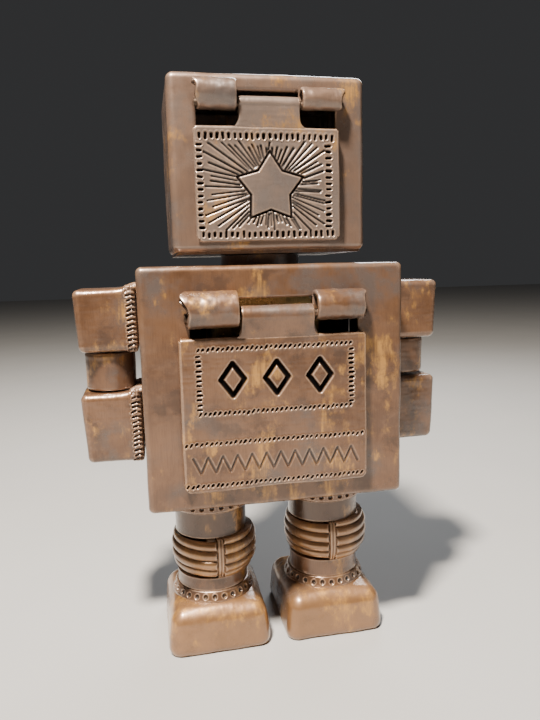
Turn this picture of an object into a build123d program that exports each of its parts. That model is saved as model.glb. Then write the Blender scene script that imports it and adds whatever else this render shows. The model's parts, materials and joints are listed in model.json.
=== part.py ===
"""Wind-up walking robot, 242 mm tall, in millimetres.

The robot faces -Y and stands on z = 0. A clockwork movement behind the chest door is wound by the key
at the back. Its crown wheel turns a crankshaft that swings the two legs on a common hip axle.
Lengths along Y are written from the middle of the torso; `write` moves every piece so that the model's
origin is under the middle of its bounding box.
"""

from build123d import *

import os
from math import acos, atan2, cos, degrees, hypot, pi, radians, sin, tan

# ---- outside of the body -------------------------------------------------------------------------
WALL = 2.0  # sheet of the torso and head
SLAB = 4.5  # plate of the two doors
GAP = 0.3  # between pieces that move past each other
RUNNING = 0.06  # radial play of a shaft in its bore
CORNER = 4.0  # rounding of the torso and head

TORSO_WIDE, TORSO_DEEP = 110.0, 66.0
TORSO_LOW, TORSO_HIGH = 71.0, 169.0
HEAD_WIDE = 80.0
HEAD_FRONT, HEAD_BACK = -28.0, 30.0
HEAD_LOW, HEAD_HIGH = 173.8, 243.2
TORSO_FRONT, TORSO_BACK = -TORSO_DEEP / 2, TORSO_DEEP / 2

# ---- doors: a slab with a tongue whose end is rolled round the hinge pin -------------------------
DOOR_SHIFT = -1.4  # both slabs hang a little to the robot's right
CHEST_DOOR_WIDE, CHEST_DOOR_LOW, CHEST_DOOR_HIGH = 77.5, 77.5, 141.2
CHEST_HINGE_Z, CHEST_ROLL = 149.0, 4.4
CHEST_KNUCKLE_Z, CHEST_KNUCKLE = 151.8, 7.3
CHEST_TONGUE, CHEST_KNUCKLE_END = 15.2, 37.2
CHEST_OPENING_X, CHEST_OPENING_LOW = 35.0, 84.0
FACE_DOOR_WIDE, FACE_DOOR_LOW, FACE_DOOR_HIGH = 58.4, 177.6, 222.1
FACE_HINGE_Z, FACE_ROLL = 230.6, 3.0
FACE_KNUCKLE_Z, FACE_KNUCKLE = 233.2, 5.2
FACE_TONGUE, FACE_KNUCKLE_END = 12.8, 29.5
FACE_OPENING_X, FACE_OPENING_LOW = (-28.8, 27.4), 184.0
HINGE_PROUD = 2.0  # hinge axis in front of the plate it is rolled from
CHEST_PIN, FACE_PIN = 2.0, 1.5
ROLL_ROOM = 2.0  # height of the slit left above a tongue's roll

# ---- arms ----------------------------------------------------------------------------------------
ARM_OUT = 27.0
ARM_DEEP, ARM_Y = 28.0, 2.0
UPPER_ARM = (133.9, 161.0)
LOWER_ARM = (84.5, 114.3)
ARM_ROUNDING = 8.0
DRUM_X, DRUM_RADIUS = 68.2, 11.0
ELBOW_PIN = 2.0
RIVET = 2.0

# ---- legs ----------------------------------------------------------------------------------------
LEG_X, LEG_Y = 27.1, -2.0
FOOT_WIDE, FOOT_DEEP, FOOT_X = 45.5, 48.0, 26.6
SOLE = 1.6
FOOT_TOP, FOOT_RING_TOP, ANKLE_TOP = 20.2, 24.6, 34.0
BELLOWS_TOP, THIGH_TOP, THIGH_RING_TOP, LEG_TOP = 52.8, 61.5, 66.5, 68.4
RING_RADIUS, ANKLE_RADIUS, THIGH_RADIUS, BELLOWS_RADIUS = 18.6, 16.3, 16.5, 19.4
LEG_BORE = 12.0
BELLOWS_RIBS = 4
TIE_BOLT, TIE_HEAD = 2.5, 5.0
HIP_Z, HIP_RADIUS, HIP_END = 79.0, 2.5, 47.0
YOKE_THICK, YOKE_DEEP = 3.0, 14.0

# ---- neck ----------------------------------------------------------------------------------------
NECK_RADIUS, NECK_BOLT = 17.5, 5.0
NECK_BOLT_LOW, NECK_NUT_LOW = 161.8, 162.2

# ---- clockwork -----------------------------------------------------------------------------------
PLATE_THICK, PLATE_X, PLATE_TOP = 1.6, 24.0, 158.0
FRONT_PLATE, BACK_PLATE = -11.0, 19.0  # front face of each movement plate
GREAT_TEETH, SECOND_PINION_TEETH, MODULE = 48, 12, 1.0
SECOND_TEETH, FLY_TEETH, FINE_MODULE = 40, 10, 0.8
CROWN_TEETH, CRANK_TEETH = 30, 10
RATCHET_TEETH = 12
ARBOR_Z = 135.0
SECOND_Z = ARBOR_Z - MODULE * (GREAT_TEETH + SECOND_PINION_TEETH) / 2
FLY_X = -FINE_MODULE * (SECOND_TEETH + FLY_TEETH) / 2
WINDING_ARBOR, SECOND_ARBOR, FLY_ARBOR = 2.0, 1.5, 1.0
GREAT_WHEEL = (-7.5, -5.5)  # span along Y
SECOND_WHEEL = (13.5, 15.0)
CRANK_Y, CRANK_SHAFT = -20.0, 1.5
CROWN_FACE = CRANK_Y + MODULE * CRANK_TEETH / 2 + 1.4  # front of the crown wheel's disc
CRANK_THROW, CRANK_PIN = 2.0, 1.2
CRANK_EAR, CRANK_DISC, CRANK_PIN_END = 18.5, 21.0, 30.0
LEG_SWING = 3.5  # degrees each way
PILLARS = ((21.0, 155.0), (-21.0, 155.0), (20.0, 87.0), (-20.0, 87.0))
PILLAR_RADIUS = 2.2
KEY_BACK, KEY_WIDE = 60.0, 17.0

MODEL_FRONT = TORSO_FRONT - HINGE_PROUD - CHEST_KNUCKLE
ORIGIN_Y = (MODEL_FRONT + KEY_BACK) / 2
SIDES = (("left", 1), ("right", -1))


def write(name, shape):
    """Write one node's STEP with the model's origin under the middle of its bounding box."""
    moved = Pos(0, -ORIGIN_Y, 0) * shape
    moved.label = name
    export_step(moved, os.path.join("parts", name + ".step"))


def block(x, y, z):
    """A box between two corners, each axis given as a (low, high) pair."""
    sizes = [high - low for low, high in (x, y, z)]
    middles = [(low + high) / 2 for low, high in (x, y, z)]
    return Pos(*middles) * Box(*sizes)


def rod_x(radius, x, y, z):
    return Pos((x[0] + x[1]) / 2, y, z) * Rot(0, 90, 0) * Cylinder(radius, x[1] - x[0])


def rod_y(radius, x, y, z):
    return Pos(x, (y[0] + y[1]) / 2, z) * Rot(90, 0, 0) * Cylinder(radius, y[1] - y[0])


def rod_z(radius, x, y, z):
    return Pos(x, y, (z[0] + z[1]) / 2) * Cylinder(radius, z[1] - z[0])


def wheel_y(face, x, y, z):
    """A flat outline raised between two places on Y; the outline's own y becomes Z."""
    return Pos(x, y[1], z) * Rot(90, 0, 0) * extrude(face, amount=y[1] - y[0])


def together(pieces):
    return Part() + pieces


# ---- gears ---------------------------------------------------------------------------------------
PRESSURE = radians(20)
TOOTH_SHARE, ADDENDUM, DEDENDUM = 0.4, 0.85, 1.2  # thin, short teeth with clockwork's play
CROWN_SHARE = 0.34  # the crown wheel's teeth are thinner, since they cross the pinion's


def involute(angle):
    return tan(angle) - angle


def polar(radius, angle):
    return (radius * cos(angle), radius * sin(angle))


def gear_face(teeth, module, first_tooth):
    """A spur gear's outline with involute flanks, its first tooth centred on first_tooth (degrees)."""
    pitch_radius = teeth * module / 2
    base = pitch_radius * cos(PRESSURE)
    root = pitch_radius - DEDENDUM * module
    tip = pitch_radius + ADDENDUM * module
    low = max(base, root)
    flank = [low + (tip - low) * step / 4 for step in range(5)]
    half_pitch_tooth = TOOTH_SHARE * pi / teeth
    points = []
    for tooth in range(teeth):
        middle = radians(first_tooth) + 2 * pi * tooth / teeth
        halves = [half_pitch_tooth + involute(PRESSURE) - involute(acos(base / r)) for r in flank]
        points.append(polar(root, middle - halves[0]))
        points += [polar(r, middle - half) for r, half in zip(flank, halves) if r > root]
        points += [polar(r, middle + half) for r, half in reversed(list(zip(flank, halves))) if r > root]
        points.append(polar(root, middle + halves[0]))
    return make_face(Polyline(*points, close=True))


def ratchet_face(teeth, tip, root):
    """Saw teeth: each rises along a ramp and falls straight back to the root."""
    points = []
    for tooth in range(teeth):
        start = 2 * pi * tooth / teeth
        points.append(polar(root, start))
        points.append(polar((root + tip) / 2, start + pi / teeth))
        points.append(polar(tip, start + 1.96 * pi / teeth))
    return make_face(Polyline(*points, close=True))


def lightening_holes(count, radius, ring):
    return [Pos(*polar(ring, 2 * pi * n / count)) * Circle(radius) for n in range(count)]


# ---- torso ---------------------------------------------------------------------------------------
def rounded_box(x, y, z, radius):
    return fillet(block(x, y, z).edges(), radius)


def hinge_knuckles(front, pin_radius, pin_z, z, radius, inner, outer):
    """The two outer rolls that hold the hinge pin."""
    y = front - HINGE_PROUD
    rolls = [rod_x(radius, span, y, z) for span in ((inner, outer), (-outer, -inner))]
    return rolls, rod_x(pin_radius, (-outer, outer), y, pin_z)


def yoke_slot(side):
    half = YOKE_DEEP / 2 + (HIP_Z - TORSO_LOW) * sin(radians(LEG_SWING)) + 0.7
    x = side * LEG_X
    reach = YOKE_THICK / 2 + 0.8
    return block((x - reach, x + reach), (LEG_Y - half, LEG_Y + half), (TORSO_LOW - 1, TORSO_LOW + WALL + 1))


def cover_screw_places():
    return [(x, z) for x in (-47.0, 47.0) for z in (TORSO_LOW + 8, TORSO_HIGH - 8)]


def arm_rivet_heights(span):
    return (span[0] + 7, span[1] - 7)


def torso_shell():
    half = TORSO_WIDE / 2
    inner = half - WALL
    shell = rounded_box((-half, half), (TORSO_FRONT, TORSO_BACK), (TORSO_LOW, TORSO_HIGH), CORNER)
    hollow = (TORSO_FRONT + WALL, TORSO_BACK + 1)
    shell -= block((-inner, inner), hollow, (TORSO_LOW + WALL, TORSO_HIGH - WALL))
    front = (TORSO_FRONT - 1, TORSO_FRONT + WALL + 1)
    shell -= block((-CHEST_OPENING_X, CHEST_OPENING_X), front, (CHEST_OPENING_LOW, CHEST_HINGE_Z))
    knuckle = (CHEST_KNUCKLE_Z, CHEST_KNUCKLE, CHEST_TONGUE + 0.5, CHEST_KNUCKLE_END)
    rolls, pin = hinge_knuckles(TORSO_FRONT, CHEST_PIN, CHEST_HINGE_Z, *knuckle)
    shell = shell + rolls - pin
    room = CHEST_TONGUE + 0.5
    shell -= block((-room, room), front, (CHEST_HINGE_Z - 1, CHEST_HINGE_Z + CHEST_ROLL + ROLL_ROOM))
    shell -= rod_z(NECK_BOLT + RUNNING, 0, 0, (TORSO_HIGH - WALL - 1, TORSO_HIGH + 1))
    for x, z in cover_screw_places():
        lug_x = (x, inner) if x > 0 else (-inner, x)
        near, far = min(lug_x) - 3 * (x > 0), max(lug_x) + 3 * (x < 0)
        shell += block((near, far), (TORSO_BACK - WALL - 6, TORSO_BACK - WALL), (z - 4, z + 4))
        shell -= rod_y(1.5, x, (TORSO_BACK - WALL - 8, TORSO_BACK), z)
    for _, side in SIDES:
        shell -= yoke_slot(side)
        for span in (UPPER_ARM, LOWER_ARM):
            for z in arm_rivet_heights(span):
                shell -= rod_x(RIVET, sorted((side * (half + 1), side * (inner - 1))), ARM_Y, z)
    for x, y in movement_screw_places():
        shell -= rod_z(1.5, x, y, (TORSO_LOW - 1, TORSO_LOW + WALL + 1))
    return shell


def torso_back_cover():
    inner = TORSO_WIDE / 2 - WALL
    cover = block((-inner, inner), (TORSO_BACK - WALL, TORSO_BACK), (TORSO_LOW + WALL, TORSO_HIGH - WALL))
    cover -= rod_y(4.0, 0, (TORSO_BACK - WALL - 1, TORSO_BACK + 1), ARBOR_Z)
    for x, z in cover_screw_places():
        cover -= rod_y(1.5, x, (TORSO_BACK - WALL - 1, TORSO_BACK + 1), z)
    return cover


def back_cover_screws():
    screws = []
    for x, z in cover_screw_places():
        head = fillet(rod_y(3.0, x, (TORSO_BACK, TORSO_BACK + 1.4), z).edges().sort_by(Axis.Y)[-1], 0.6)
        slot = block((x - 3.5, x + 3.5), (TORSO_BACK + 0.7, TORSO_BACK + 2), (z - 0.4, z + 0.4))
        screws.append(head - slot + rod_y(1.5, x, (TORSO_BACK - WALL - 5, TORSO_BACK), z))
    return together(screws)


def key_bush():
    flange = rod_y(6.5, 0, (TORSO_BACK, TORSO_BACK + 1.5), ARBOR_Z)
    barrel = rod_y(4.0, 0, (TORSO_BACK - WALL, TORSO_BACK), ARBOR_Z)
    bore = rod_y(WINDING_ARBOR + RUNNING, 0, (TORSO_BACK - WALL - 1, TORSO_BACK + 3), ARBOR_Z)
    return flange + barrel - bore


def neck_collar():
    collar = rod_z(NECK_RADIUS, 0, 0, (TORSO_HIGH, HEAD_LOW - GAP))
    return collar - rod_z(NECK_BOLT + RUNNING, 0, 0, (TORSO_HIGH - 1, HEAD_LOW + 1))


# ---- head ----------------------------------------------------------------------------------------
def head_shell():
    half = HEAD_WIDE / 2
    inner = half - WALL
    shell = rounded_box((-half, half), (HEAD_FRONT, HEAD_BACK), (HEAD_LOW, HEAD_HIGH), CORNER)
    inside_y = (HEAD_FRONT + WALL, HEAD_BACK - WALL)
    shell -= block((-inner, inner), inside_y, (HEAD_LOW - 1, HEAD_HIGH - WALL))
    front = (HEAD_FRONT - 1, HEAD_FRONT + WALL + 1)
    shell -= block(FACE_OPENING_X, front, (FACE_OPENING_LOW, FACE_HINGE_Z))
    knuckle = (FACE_KNUCKLE_Z, FACE_KNUCKLE, FACE_TONGUE + 0.5, FACE_KNUCKLE_END)
    rolls, pin = hinge_knuckles(HEAD_FRONT, FACE_PIN, FACE_HINGE_Z, *knuckle)
    shell = shell + rolls - pin
    room = FACE_TONGUE + 0.5
    shell -= block((-room, room), front, (FACE_HINGE_Z - 1, FACE_HINGE_Z + FACE_ROLL + ROLL_ROOM))
    return shell


def head_base_plate():
    inner = HEAD_WIDE / 2 - WALL
    plate = block((-inner, inner), (HEAD_FRONT + WALL, HEAD_BACK - WALL), (HEAD_LOW, HEAD_LOW + WALL))
    return plate - rod_z(NECK_BOLT, 0, 0, (HEAD_LOW - 1, HEAD_LOW + WALL + 1))


def neck_bolt():
    head = chamfer(rod_z(9.0, 0, 0, (HEAD_LOW + WALL, HEAD_LOW + WALL + 3)).edges().sort_by(Axis.Z)[-1], 0.8)
    return head + rod_z(NECK_BOLT, 0, 0, (NECK_BOLT_LOW, HEAD_LOW + WALL))


def neck_nut():
    nut = extrude(RegularPolygon(8.0, 6), amount=TORSO_HIGH - WALL - GAP - NECK_NUT_LOW)
    return Pos(0, 0, NECK_NUT_LOW) * nut - rod_z(NECK_BOLT, 0, 0, (NECK_NUT_LOW - 1, TORSO_HIGH))


# ---- doors ---------------------------------------------------------------------------------------
def door(front, wide, low, high, tongue, hinge_z, roll, pin):
    """A slab hung from a tongue that is rolled round the pin between the two outer knuckles."""
    y = (front - GAP - SLAB, front - GAP)
    slab = block((DOOR_SHIFT - wide / 2, DOOR_SHIFT + wide / 2), y, (low, high))
    slab = fillet(slab.edges().filter_by(Axis.Y), 3.0)
    slab += block((-tongue, tongue), y, (high - 1, hinge_z))
    slab += rod_x(roll, (-tongue, tongue), front - HINGE_PROUD, hinge_z)
    return slab - rod_x(pin + RUNNING, (-tongue - 1, tongue + 1), front - HINGE_PROUD, hinge_z)


def chest_door():
    sizes = (CHEST_DOOR_WIDE, CHEST_DOOR_LOW, CHEST_DOOR_HIGH, CHEST_TONGUE)
    return door(TORSO_FRONT, *sizes, CHEST_HINGE_Z, CHEST_ROLL, CHEST_PIN)


def face_door():
    sizes = (FACE_DOOR_WIDE, FACE_DOOR_LOW, FACE_DOOR_HIGH, FACE_TONGUE)
    return door(HEAD_FRONT, *sizes, FACE_HINGE_Z, FACE_ROLL, FACE_PIN)


def hinge_pin(front, z, radius, end):
    return rod_x(radius, (-end, end), front - HINGE_PROUD, z)


# ---- arms ----------------------------------------------------------------------------------------
def arm_block(side, span, pin_span):
    """A thick block standing out from the torso's side, rounded everywhere but at its root."""
    root, tip = TORSO_WIDE / 2, TORSO_WIDE / 2 + ARM_OUT
    x = sorted((side * root, side * tip))
    arm = block(x, (ARM_Y - ARM_DEEP / 2, ARM_Y + ARM_DEEP / 2), span)
    outer = arm.edges().filter_by(Axis.Z).sort_by(Axis.X)
    arm = fillet(outer[-2:] if side > 0 else outer[:2], ARM_ROUNDING)
    rims = arm.faces().filter_by(Axis.Z)
    root_edges = arm.edges().filter_by(lambda edge: abs(edge.center().X - side * root) < 0.1)
    arm = fillet([edge for face in rims for edge in face.edges() if edge not in root_edges], 3.0)
    arm -= rod_z(ELBOW_PIN, side * DRUM_X, ARM_Y, pin_span)
    for z in arm_rivet_heights(span):
        arm -= rod_x(RIVET, sorted((side * root, side * (root + 8))), ARM_Y, z)
    return arm


ELBOW_PIN_SPAN = (LOWER_ARM[1] - 7, UPPER_ARM[0] + 7)


def elbow_pins():
    return together([rod_z(ELBOW_PIN, side * DRUM_X, ARM_Y, ELBOW_PIN_SPAN) for _, side in SIDES])


def elbow_drum(side):
    span = (LOWER_ARM[1] + GAP, UPPER_ARM[0] - GAP)
    drum = rod_z(DRUM_RADIUS, side * DRUM_X, ARM_Y, span)
    drum = fillet(drum.edges(), 1.2)
    return drum - rod_z(ELBOW_PIN + RUNNING, side * DRUM_X, ARM_Y, (span[0] - 1, span[1] + 1))


def arm_rivets():
    half = TORSO_WIDE / 2
    rivets = []
    for _, side in SIDES:
        for span in (UPPER_ARM, LOWER_ARM):
            for z in arm_rivet_heights(span):
                shank = rod_x(RIVET, sorted((side * (half - WALL), side * (half + 8))), ARM_Y, z)
                head = rod_x(4.0, sorted((side * (half - WALL - 1.5), side * (half - WALL))), ARM_Y, z)
                rivets.append(shank + head)
    return together(rivets)


# ---- legs ----------------------------------------------------------------------------------------
def tube_z(radius, side, z):
    return rod_z(radius, side * LEG_X, LEG_Y, z) - rod_z(LEG_BORE, side * LEG_X, LEG_Y, (z[0] - 1, z[1] + 1))


def foot(side):
    x = (side * FOOT_X - FOOT_WIDE / 2, side * FOOT_X + FOOT_WIDE / 2)
    y = (LEG_Y - FOOT_DEEP / 2, LEG_Y + FOOT_DEEP / 2)
    body = block(x, y, (SOLE, FOOT_TOP))
    body = fillet(body.edges().filter_by(Axis.Z), 8.0)
    body = fillet(body.faces().sort_by(Axis.Z)[-1].edges(), 5.0)
    body = fillet(body.faces().sort_by(Axis.Z)[0].edges(), 2.0)
    body -= rod_z(TIE_BOLT, side * LEG_X, LEG_Y, (SOLE - 1, FOOT_TOP + 1))
    return body - rod_z(TIE_HEAD, side * LEG_X, LEG_Y, (SOLE - 1, SOLE + 4))


def sole_plate(side):
    x = (side * FOOT_X - FOOT_WIDE / 2 + 2.5, side * FOOT_X + FOOT_WIDE / 2 - 2.5)
    y = (LEG_Y - FOOT_DEEP / 2 + 2.5, LEG_Y + FOOT_DEEP / 2 - 2.5)
    return fillet(block(x, y, (0, SOLE)).edges().filter_by(Axis.Z), 6.0)


def knee_bellows(side):
    """A tube with round ribs stacked one on another."""
    pitch = (BELLOWS_TOP - ANKLE_TOP) / BELLOWS_RIBS
    root = BELLOWS_RADIUS - 1.8
    outline = [Line((LEG_BORE, ANKLE_TOP), (root, ANKLE_TOP))]
    for rib in range(BELLOWS_RIBS):
        low = ANKLE_TOP + rib * pitch
        outline.append(ThreePointArc((root, low), (BELLOWS_RADIUS, low + pitch / 2), (root, low + pitch)))
    outline.append(Line((root, BELLOWS_TOP), (LEG_BORE, BELLOWS_TOP)))
    outline.append(Line((LEG_BORE, BELLOWS_TOP), (LEG_BORE, ANKLE_TOP)))
    profile = Rot(90, 0, 0) * make_face(Curve() + outline)
    return Pos(side * LEG_X, LEG_Y, 0) * revolve(profile, Axis.Z)


def ring_z(side, z):
    """A collar with rounded rims."""
    ring = fillet(rod_z(RING_RADIUS, side * LEG_X, LEG_Y, z).edges(), 1.6)
    return ring - rod_z(LEG_BORE, side * LEG_X, LEG_Y, (z[0] - 1, z[1] + 1))


LEVER = hypot(CRANK_Y - LEG_Y, SECOND_Z - HIP_Z)
LEVER_TILT = degrees(atan2(LEG_Y - CRANK_Y, SECOND_Z - HIP_Z))
WINDOW_LONG = 2 * (CRANK_THROW + CRANK_PIN + 0.6)
WINDOW_WIDE = 2 * (CRANK_THROW + CRANK_PIN + LEVER * sin(radians(LEG_SWING)) + 0.4)
WINDOW_FRAME = 2.0


def hip_yoke(side):
    """Cap of the leg with the plate that hangs on the hip axle and the lever round the crank pin."""
    x = side * LEG_X
    yoke = rod_z(RING_RADIUS - 1.2, x, LEG_Y, (THIGH_RING_TOP, LEG_TOP))
    yoke += rod_z(8.0, x, LEG_Y, (THIGH_RING_TOP - 8, THIGH_RING_TOP))
    yoke -= rod_z(TIE_BOLT, x, LEG_Y, (THIGH_RING_TOP - 9, THIGH_RING_TOP - 0.5))
    half = YOKE_THICK / 2
    yoke += block((x - half, x + half), (LEG_Y - YOKE_DEEP / 2, LEG_Y + YOKE_DEEP / 2), (LEG_TOP, HIP_Z))
    yoke += rod_x(YOKE_DEEP / 2, (x - half, x + half), LEG_Y, HIP_Z)
    lever = block((-half, half), (-4.5, 4.5), (0, LEVER - WINDOW_LONG / 2))
    frame_y, frame_z = WINDOW_WIDE / 2 + WINDOW_FRAME, WINDOW_LONG / 2 + WINDOW_FRAME
    lever += block((-half, half), (-frame_y, frame_y), (LEVER - frame_z, LEVER + frame_z))
    window = Box(2 * half + 2, WINDOW_WIDE, WINDOW_LONG)
    lever -= Pos(0, 0, LEVER) * window
    yoke += Pos(x, LEG_Y, HIP_Z) * Rot(LEVER_TILT, 0, 0) * lever
    return yoke - rod_x(HIP_RADIUS + RUNNING, (x - half - 1, x + half + 1), LEG_Y, HIP_Z)


def leg_tie_bolt(side):
    head = rod_z(TIE_HEAD, side * LEG_X, LEG_Y, (SOLE + 0.6, SOLE + 4))
    return head + rod_z(TIE_BOLT, side * LEG_X, LEG_Y, (SOLE + 4, THIGH_RING_TOP - 0.5))


def hip_axle():
    return chamfer(rod_x(HIP_RADIUS, (-HIP_END, HIP_END), LEG_Y, HIP_Z).edges(), 0.4)


LUG_RADIUS = HIP_Z - TORSO_LOW - WALL


def hip_bearings():
    """Two standing lugs on the torso's floor that carry the axle outside the legs."""
    lugs = []
    for _, side in SIDES:
        x = sorted((side * 39.0, side * 42.0))
        lug = block(x, (LEG_Y - LUG_RADIUS, LEG_Y + LUG_RADIUS), (TORSO_LOW + WALL, HIP_Z))
        lug += rod_x(LUG_RADIUS, x, LEG_Y, HIP_Z)
        lugs.append(lug - rod_x(HIP_RADIUS, (x[0] - 1, x[1] + 1), LEG_Y, HIP_Z))
    return together(lugs)


# ---- clockwork -----------------------------------------------------------------------------------
PLATE_FOOT = 8.0


def movement_screw_places():
    front, back = FRONT_PLATE - PLATE_FOOT / 2, BACK_PLATE + PLATE_THICK + PLATE_FOOT / 2 - 1
    return [(x, y) for x in (-14.0, 14.0) for y in (front, back)]


def movement_plate(face_y, foot_y, bores):
    """A plate standing on a bent foot, bored for the arbors and pillar ends."""
    y = (face_y, face_y + PLATE_THICK)
    floor = TORSO_LOW + WALL
    plate = block((-PLATE_X, PLATE_X), y, (floor, PLATE_TOP))
    plate = fillet(plate.edges().filter_by(Axis.Y).sort_by(Axis.Z)[-2:], 5.0)
    plate += block((-PLATE_X, PLATE_X), foot_y, (floor, floor + PLATE_THICK))
    through = (face_y - 1, face_y + PLATE_THICK + 1)
    for x, z, radius in bores:
        plate -= rod_y(radius, x, through, z)
    for x, z in PILLARS:
        plate -= rod_y(1.4, x, through, z)
    for x, screw_y in movement_screw_places():
        plate -= rod_z(1.5, x, screw_y, (floor - 1, floor + 3))
    return plate


ARBOR_BORES = (
    (0, ARBOR_Z, WINDING_ARBOR + RUNNING),
    (0, SECOND_Z, SECOND_ARBOR + RUNNING),
    (FLY_X, SECOND_Z, FLY_ARBOR + RUNNING),
)


def movement_front_plate():
    plate = movement_plate(FRONT_PLATE, (FRONT_PLATE - PLATE_FOOT, FRONT_PLATE), ARBOR_BORES)
    for _, side in SIDES:
        x = sorted((side * CRANK_EAR, side * (CRANK_EAR + PLATE_THICK)))
        ear = block(x, (CRANK_Y, FRONT_PLATE), (SECOND_Z - 5, SECOND_Z + 5))
        ear += rod_x(5.0, x, CRANK_Y, SECOND_Z)
        plate += ear - rod_x(CRANK_SHAFT + RUNNING, (x[0] - 1, x[1] + 1), CRANK_Y, SECOND_Z)
    return plate


def movement_back_plate():
    foot = (BACK_PLATE + PLATE_THICK, BACK_PLATE + PLATE_THICK + PLATE_FOOT)
    return movement_plate(BACK_PLATE, foot, ARBOR_BORES)


def movement_pillars():
    """Four distance pillars, their turned ends riveted over outside the plates."""
    pillars = []
    for x, z in PILLARS:
        pillar = rod_y(PILLAR_RADIUS, x, (FRONT_PLATE + PLATE_THICK, BACK_PLATE), z)
        pillar += rod_y(1.4, x, (FRONT_PLATE - 0.8, BACK_PLATE + PLATE_THICK + 0.8), z)
        pillars.append(pillar)
    return together(pillars)


def movement_screws():
    screws = []
    floor = TORSO_LOW + WALL
    for x, y in movement_screw_places():
        head = rod_z(2.6, x, y, (floor + PLATE_THICK, floor + PLATE_THICK + 1.6))
        screws.append(head + rod_z(1.5, x, y, (TORSO_LOW, floor + PLATE_THICK)))
    return together(screws)


SPRING_INNER, SPRING_OUTER, SPRING_TURNS, SPRING_STRIP = 4.0, 18.5, 6.5, 0.6


def mainspring():
    """A flat strip wound from beside the arbor out to the pillar that holds its end."""
    steps = int(SPRING_TURNS * 24)
    pillar_x, pillar_z = PILLARS[0]
    end_angle = atan2(pillar_z - ARBOR_Z, pillar_x)
    angles = [end_angle - 2 * pi * SPRING_TURNS * (1 - n / steps) for n in range(steps + 1)]
    radii = [SPRING_INNER + (SPRING_OUTER - SPRING_INNER) * n / steps for n in range(steps + 1)]
    inner = [polar(r - SPRING_STRIP / 2, a) for r, a in zip(radii, angles)]
    outer = [polar(r + SPRING_STRIP / 2, a) for r, a in zip(radii, angles)]
    coil = make_face(Polyline(*inner, *reversed(outer), close=True))
    reach = hypot(pillar_x, pillar_z - ARBOR_Z) - PILLAR_RADIUS
    start, end = SPRING_OUTER - 0.2, reach - 0.05
    tail = Pos(*polar((start + end) / 2, end_angle)) * Rot(0, 0, degrees(end_angle))
    tail *= Rectangle(end - start, SPRING_STRIP)
    return wheel_y(coil + tail, 0, (1.0, 10.0), ARBOR_Z)


def great_wheel():
    face = gear_face(GREAT_TEETH, MODULE, -90) - lightening_holes(6, 4.0, 16.0)
    wheel = wheel_y(face, 0, GREAT_WHEEL, ARBOR_Z)
    wheel += rod_y(4.0, 0, (FRONT_PLATE + PLATE_THICK + GAP, GREAT_WHEEL[0]), ARBOR_Z)
    return wheel - rod_y(WINDING_ARBOR + RUNNING, 0, (FRONT_PLATE, GREAT_WHEEL[1] + 1), ARBOR_Z)


RATCHET_TIP, RATCHET_ROOT, RATCHET_THICK = 9.0, 7.2, 2.0
CLICK_PIVOT = (12.0, 8.0)
CLICK_NOSE = ((7.45, 0.25), (9.3, 0.25))  # lies behind the straight face of a ratchet tooth
CLICK_OUTER = (13.5, 7.2)
CLICK_INNER = (10.5, 8.8)


def ratchet_wheel():
    y = (GREAT_WHEEL[1] + 0.2, GREAT_WHEEL[1] + 0.2 + RATCHET_THICK)
    wheel = wheel_y(ratchet_face(RATCHET_TEETH, RATCHET_TIP, RATCHET_ROOT), 0, y, ARBOR_Z)
    return wheel - rod_y(WINDING_ARBOR, 0, (y[0] - 1, y[1] + 1), ARBOR_Z)


def ratchet_click():
    """The pawl that lies on the great wheel and drops behind a ratchet tooth."""
    y = (GREAT_WHEEL[1], GREAT_WHEEL[1] + RATCHET_THICK)
    pivot = Pos(*CLICK_PIVOT) * Circle(2.2)
    arm = make_face(Polyline(*CLICK_NOSE, CLICK_OUTER, CLICK_INNER, close=True))
    return wheel_y(arm, 0, y, ARBOR_Z) + wheel_y(pivot, 0, (y[0], y[1] + 0.8), ARBOR_Z)


def click_spring():
    """A thin leaf, bent round a stud on the great wheel, that presses on the click."""
    y = (GREAT_WHEEL[1], GREAT_WHEEL[1] + 1.2)
    stud = (14.5, 14.5)
    leaf = Polyline(stud, (16.2, 9.0), (12.15, 3.4))
    strip = trace(leaf, line_width=0.5)
    return wheel_y(strip + Pos(*stud) * Circle(1.3), 0, y, ARBOR_Z)


def winding_arbor():
    rod = rod_y(WINDING_ARBOR, 0, (FRONT_PLATE - 1.5, KEY_BACK - 14), ARBOR_Z)
    return chamfer(rod.edges(), 0.3)


def winding_key():
    """A butterfly key: a hub on the arbor's end and two rounded wings, each with a hole."""
    hub = rod_y(4.5, 0, (TORSO_BACK + 4, KEY_BACK - 8), ARBOR_Z)
    y = (KEY_BACK - 20, KEY_BACK)
    wings = Pos(0, (y[0] + y[1]) / 2) * RectangleRounded(2 * KEY_WIDE, y[1] - y[0], 9.0)
    wings -= [Pos(side * 10.5, (y[0] + y[1]) / 2) * Circle(4.2) for _, side in SIDES]
    wings -= Pos(0, KEY_BACK) * Circle(4.5)
    key = Pos(0, 0, ARBOR_Z) * extrude(wings, amount=1.25, both=True) + hub
    return key - rod_y(WINDING_ARBOR, 0, (TORSO_BACK, KEY_BACK - 14), ARBOR_Z)


def second_arbor():
    """The second arbor with its pinion cut in the solid."""
    pinion = gear_face(SECOND_PINION_TEETH, MODULE, 90 + 180 / SECOND_PINION_TEETH)
    arbor = rod_y(SECOND_ARBOR, 0, (CROWN_FACE, BACK_PLATE + PLATE_THICK + 1), SECOND_Z)
    return arbor + wheel_y(pinion, 0, (GREAT_WHEEL[0] - 1, GREAT_WHEEL[1] + 1), SECOND_Z)


def second_wheel():
    face = gear_face(SECOND_TEETH, FINE_MODULE, 180) - lightening_holes(5, 3.0, 9.5)
    wheel = wheel_y(face, 0, SECOND_WHEEL, SECOND_Z) + rod_y(3.0, 0, (11.0, SECOND_WHEEL[0]), SECOND_Z)
    return wheel - rod_y(SECOND_ARBOR, 0, (10, SECOND_WHEEL[1] + 1), SECOND_Z)


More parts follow.
